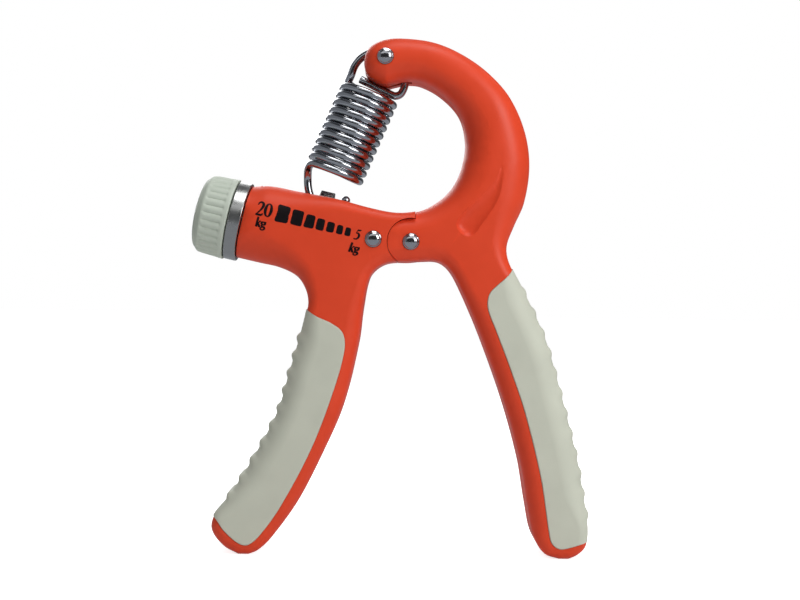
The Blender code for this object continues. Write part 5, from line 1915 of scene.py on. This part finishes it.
print("a card's grey is tinted by", CARD_TINT)

# %% Where the cards stand
UPRIGHT = Matrix.Rotation(math.radians(90), 4, "X")
SIDEWAYS = Matrix.Rotation(math.radians(90), 4, "Z") @ UPRIGHT
# Each card has a grey level, a size and a place, in metres.
CARDS = {
    "card_front": (0.03, (2.4, 1.2), Matrix.Translation((0.0, -1.2, 0.20)) @ UPRIGHT),
    "card_behind": (0.10, (2.4, 1.6), Matrix.Translation((0.0, 1.0, 0.40)) @ UPRIGHT),
    "card_left": (0.26, (2.0, 1.5), Matrix.Translation((-0.85, 0.00, 0.40)) @ SIDEWAYS),
    "card_right": (0.04, (2.0, 1.5), Matrix.Translation((0.95, 0.00, 0.40)) @ SIDEWAYS),
    "card_above": (0.06, (1.7, 1.5), Matrix.Translation((-0.15, -0.10, 1.00))),
    "card_table": (0.40, (1.6, 1.9), Matrix.Translation((0.0, 0.0, 0.0005)))}
for name, (level, size, place) in CARDS.items():
    stage_plane(name, size, place, make_card(name, level))
print("cards:", ", ".join(CARDS))

# %% [markdown]
# ## Lamps
# Catalogue light is soft. A sun would draw hard edges, so three softboxes do it: one above, a small one
# from the right that gives the round forms their highlights, and one from behind that lifts the rims.

# %% Lamps


def softbox(name, spot, target, size, watts):
    """A rectangular lamp that looks at a target."""
    light = bpy.data.lights.new(name, "AREA")
    light.shape = "RECTANGLE"
    light.size, light.size_y = size
    light.energy = watts
    lamp = bpy.data.objects.new(name, light)
    bpy.context.scene.collection.objects.link(lamp)
    lamp.location = spot
    lamp.rotation_euler = (Vector(target) - Vector(spot)).to_track_quat("-Z", "Y").to_euler()
    print(name, watts, "W")


MIDDLE = (0.0, 0.0, 0.08)
softbox("overhead_softbox", (0.10, -0.18, 0.75), MIDDLE, (0.45, 0.35), 2.25)
softbox("key_from_the_right", (0.44, -0.42, 0.33), MIDDLE, (0.32, 0.32), 2.2)
softbox("fill_from_behind", (-0.25, 0.60, 0.40), MIDDLE, (0.45, 0.45), 2.0)

# %% [markdown]
# ## The camera
# It stands 0.4 m in front of the hinge plane, level with the middle of the gripper, and leans by 0.9
# degrees. Angles could turn it, but the lean is easiest to set as the two directions that the picture's
# edges follow.

# %% Set the camera
CAMERA_SPOT = Vector((0.002885, -0.400, 0.07785))
LEAN = math.radians(0.9)
LENS = 58.05
SENSOR_WIDTH = 36.0
eye = bpy.data.cameras.new("camera")
eye.sensor_fit = "HORIZONTAL"
eye.sensor_width = SENSOR_WIDTH
eye.lens = LENS
eye.clip_start = 0.01
camera = bpy.data.objects.new("camera", eye)
bpy.context.scene.collection.objects.link(camera)
right = Vector((math.cos(LEAN), 0.0, math.sin(LEAN)))
upward = Vector((-math.sin(LEAN), 0.0, math.cos(LEAN)))
turn = Matrix((right, upward, Vector((0.0, -1.0, 0.0)))).transposed()
camera.matrix_world = Matrix.Translation(CAMERA_SPOT) @ turn.to_4x4()
bpy.context.scene.camera = camera
bpy.context.scene.view_settings.view_transform = "Standard"
print(f"the camera sees {2 * math.degrees(math.atan(SENSOR_WIDTH / 2 / LENS)):.0f} degrees across")
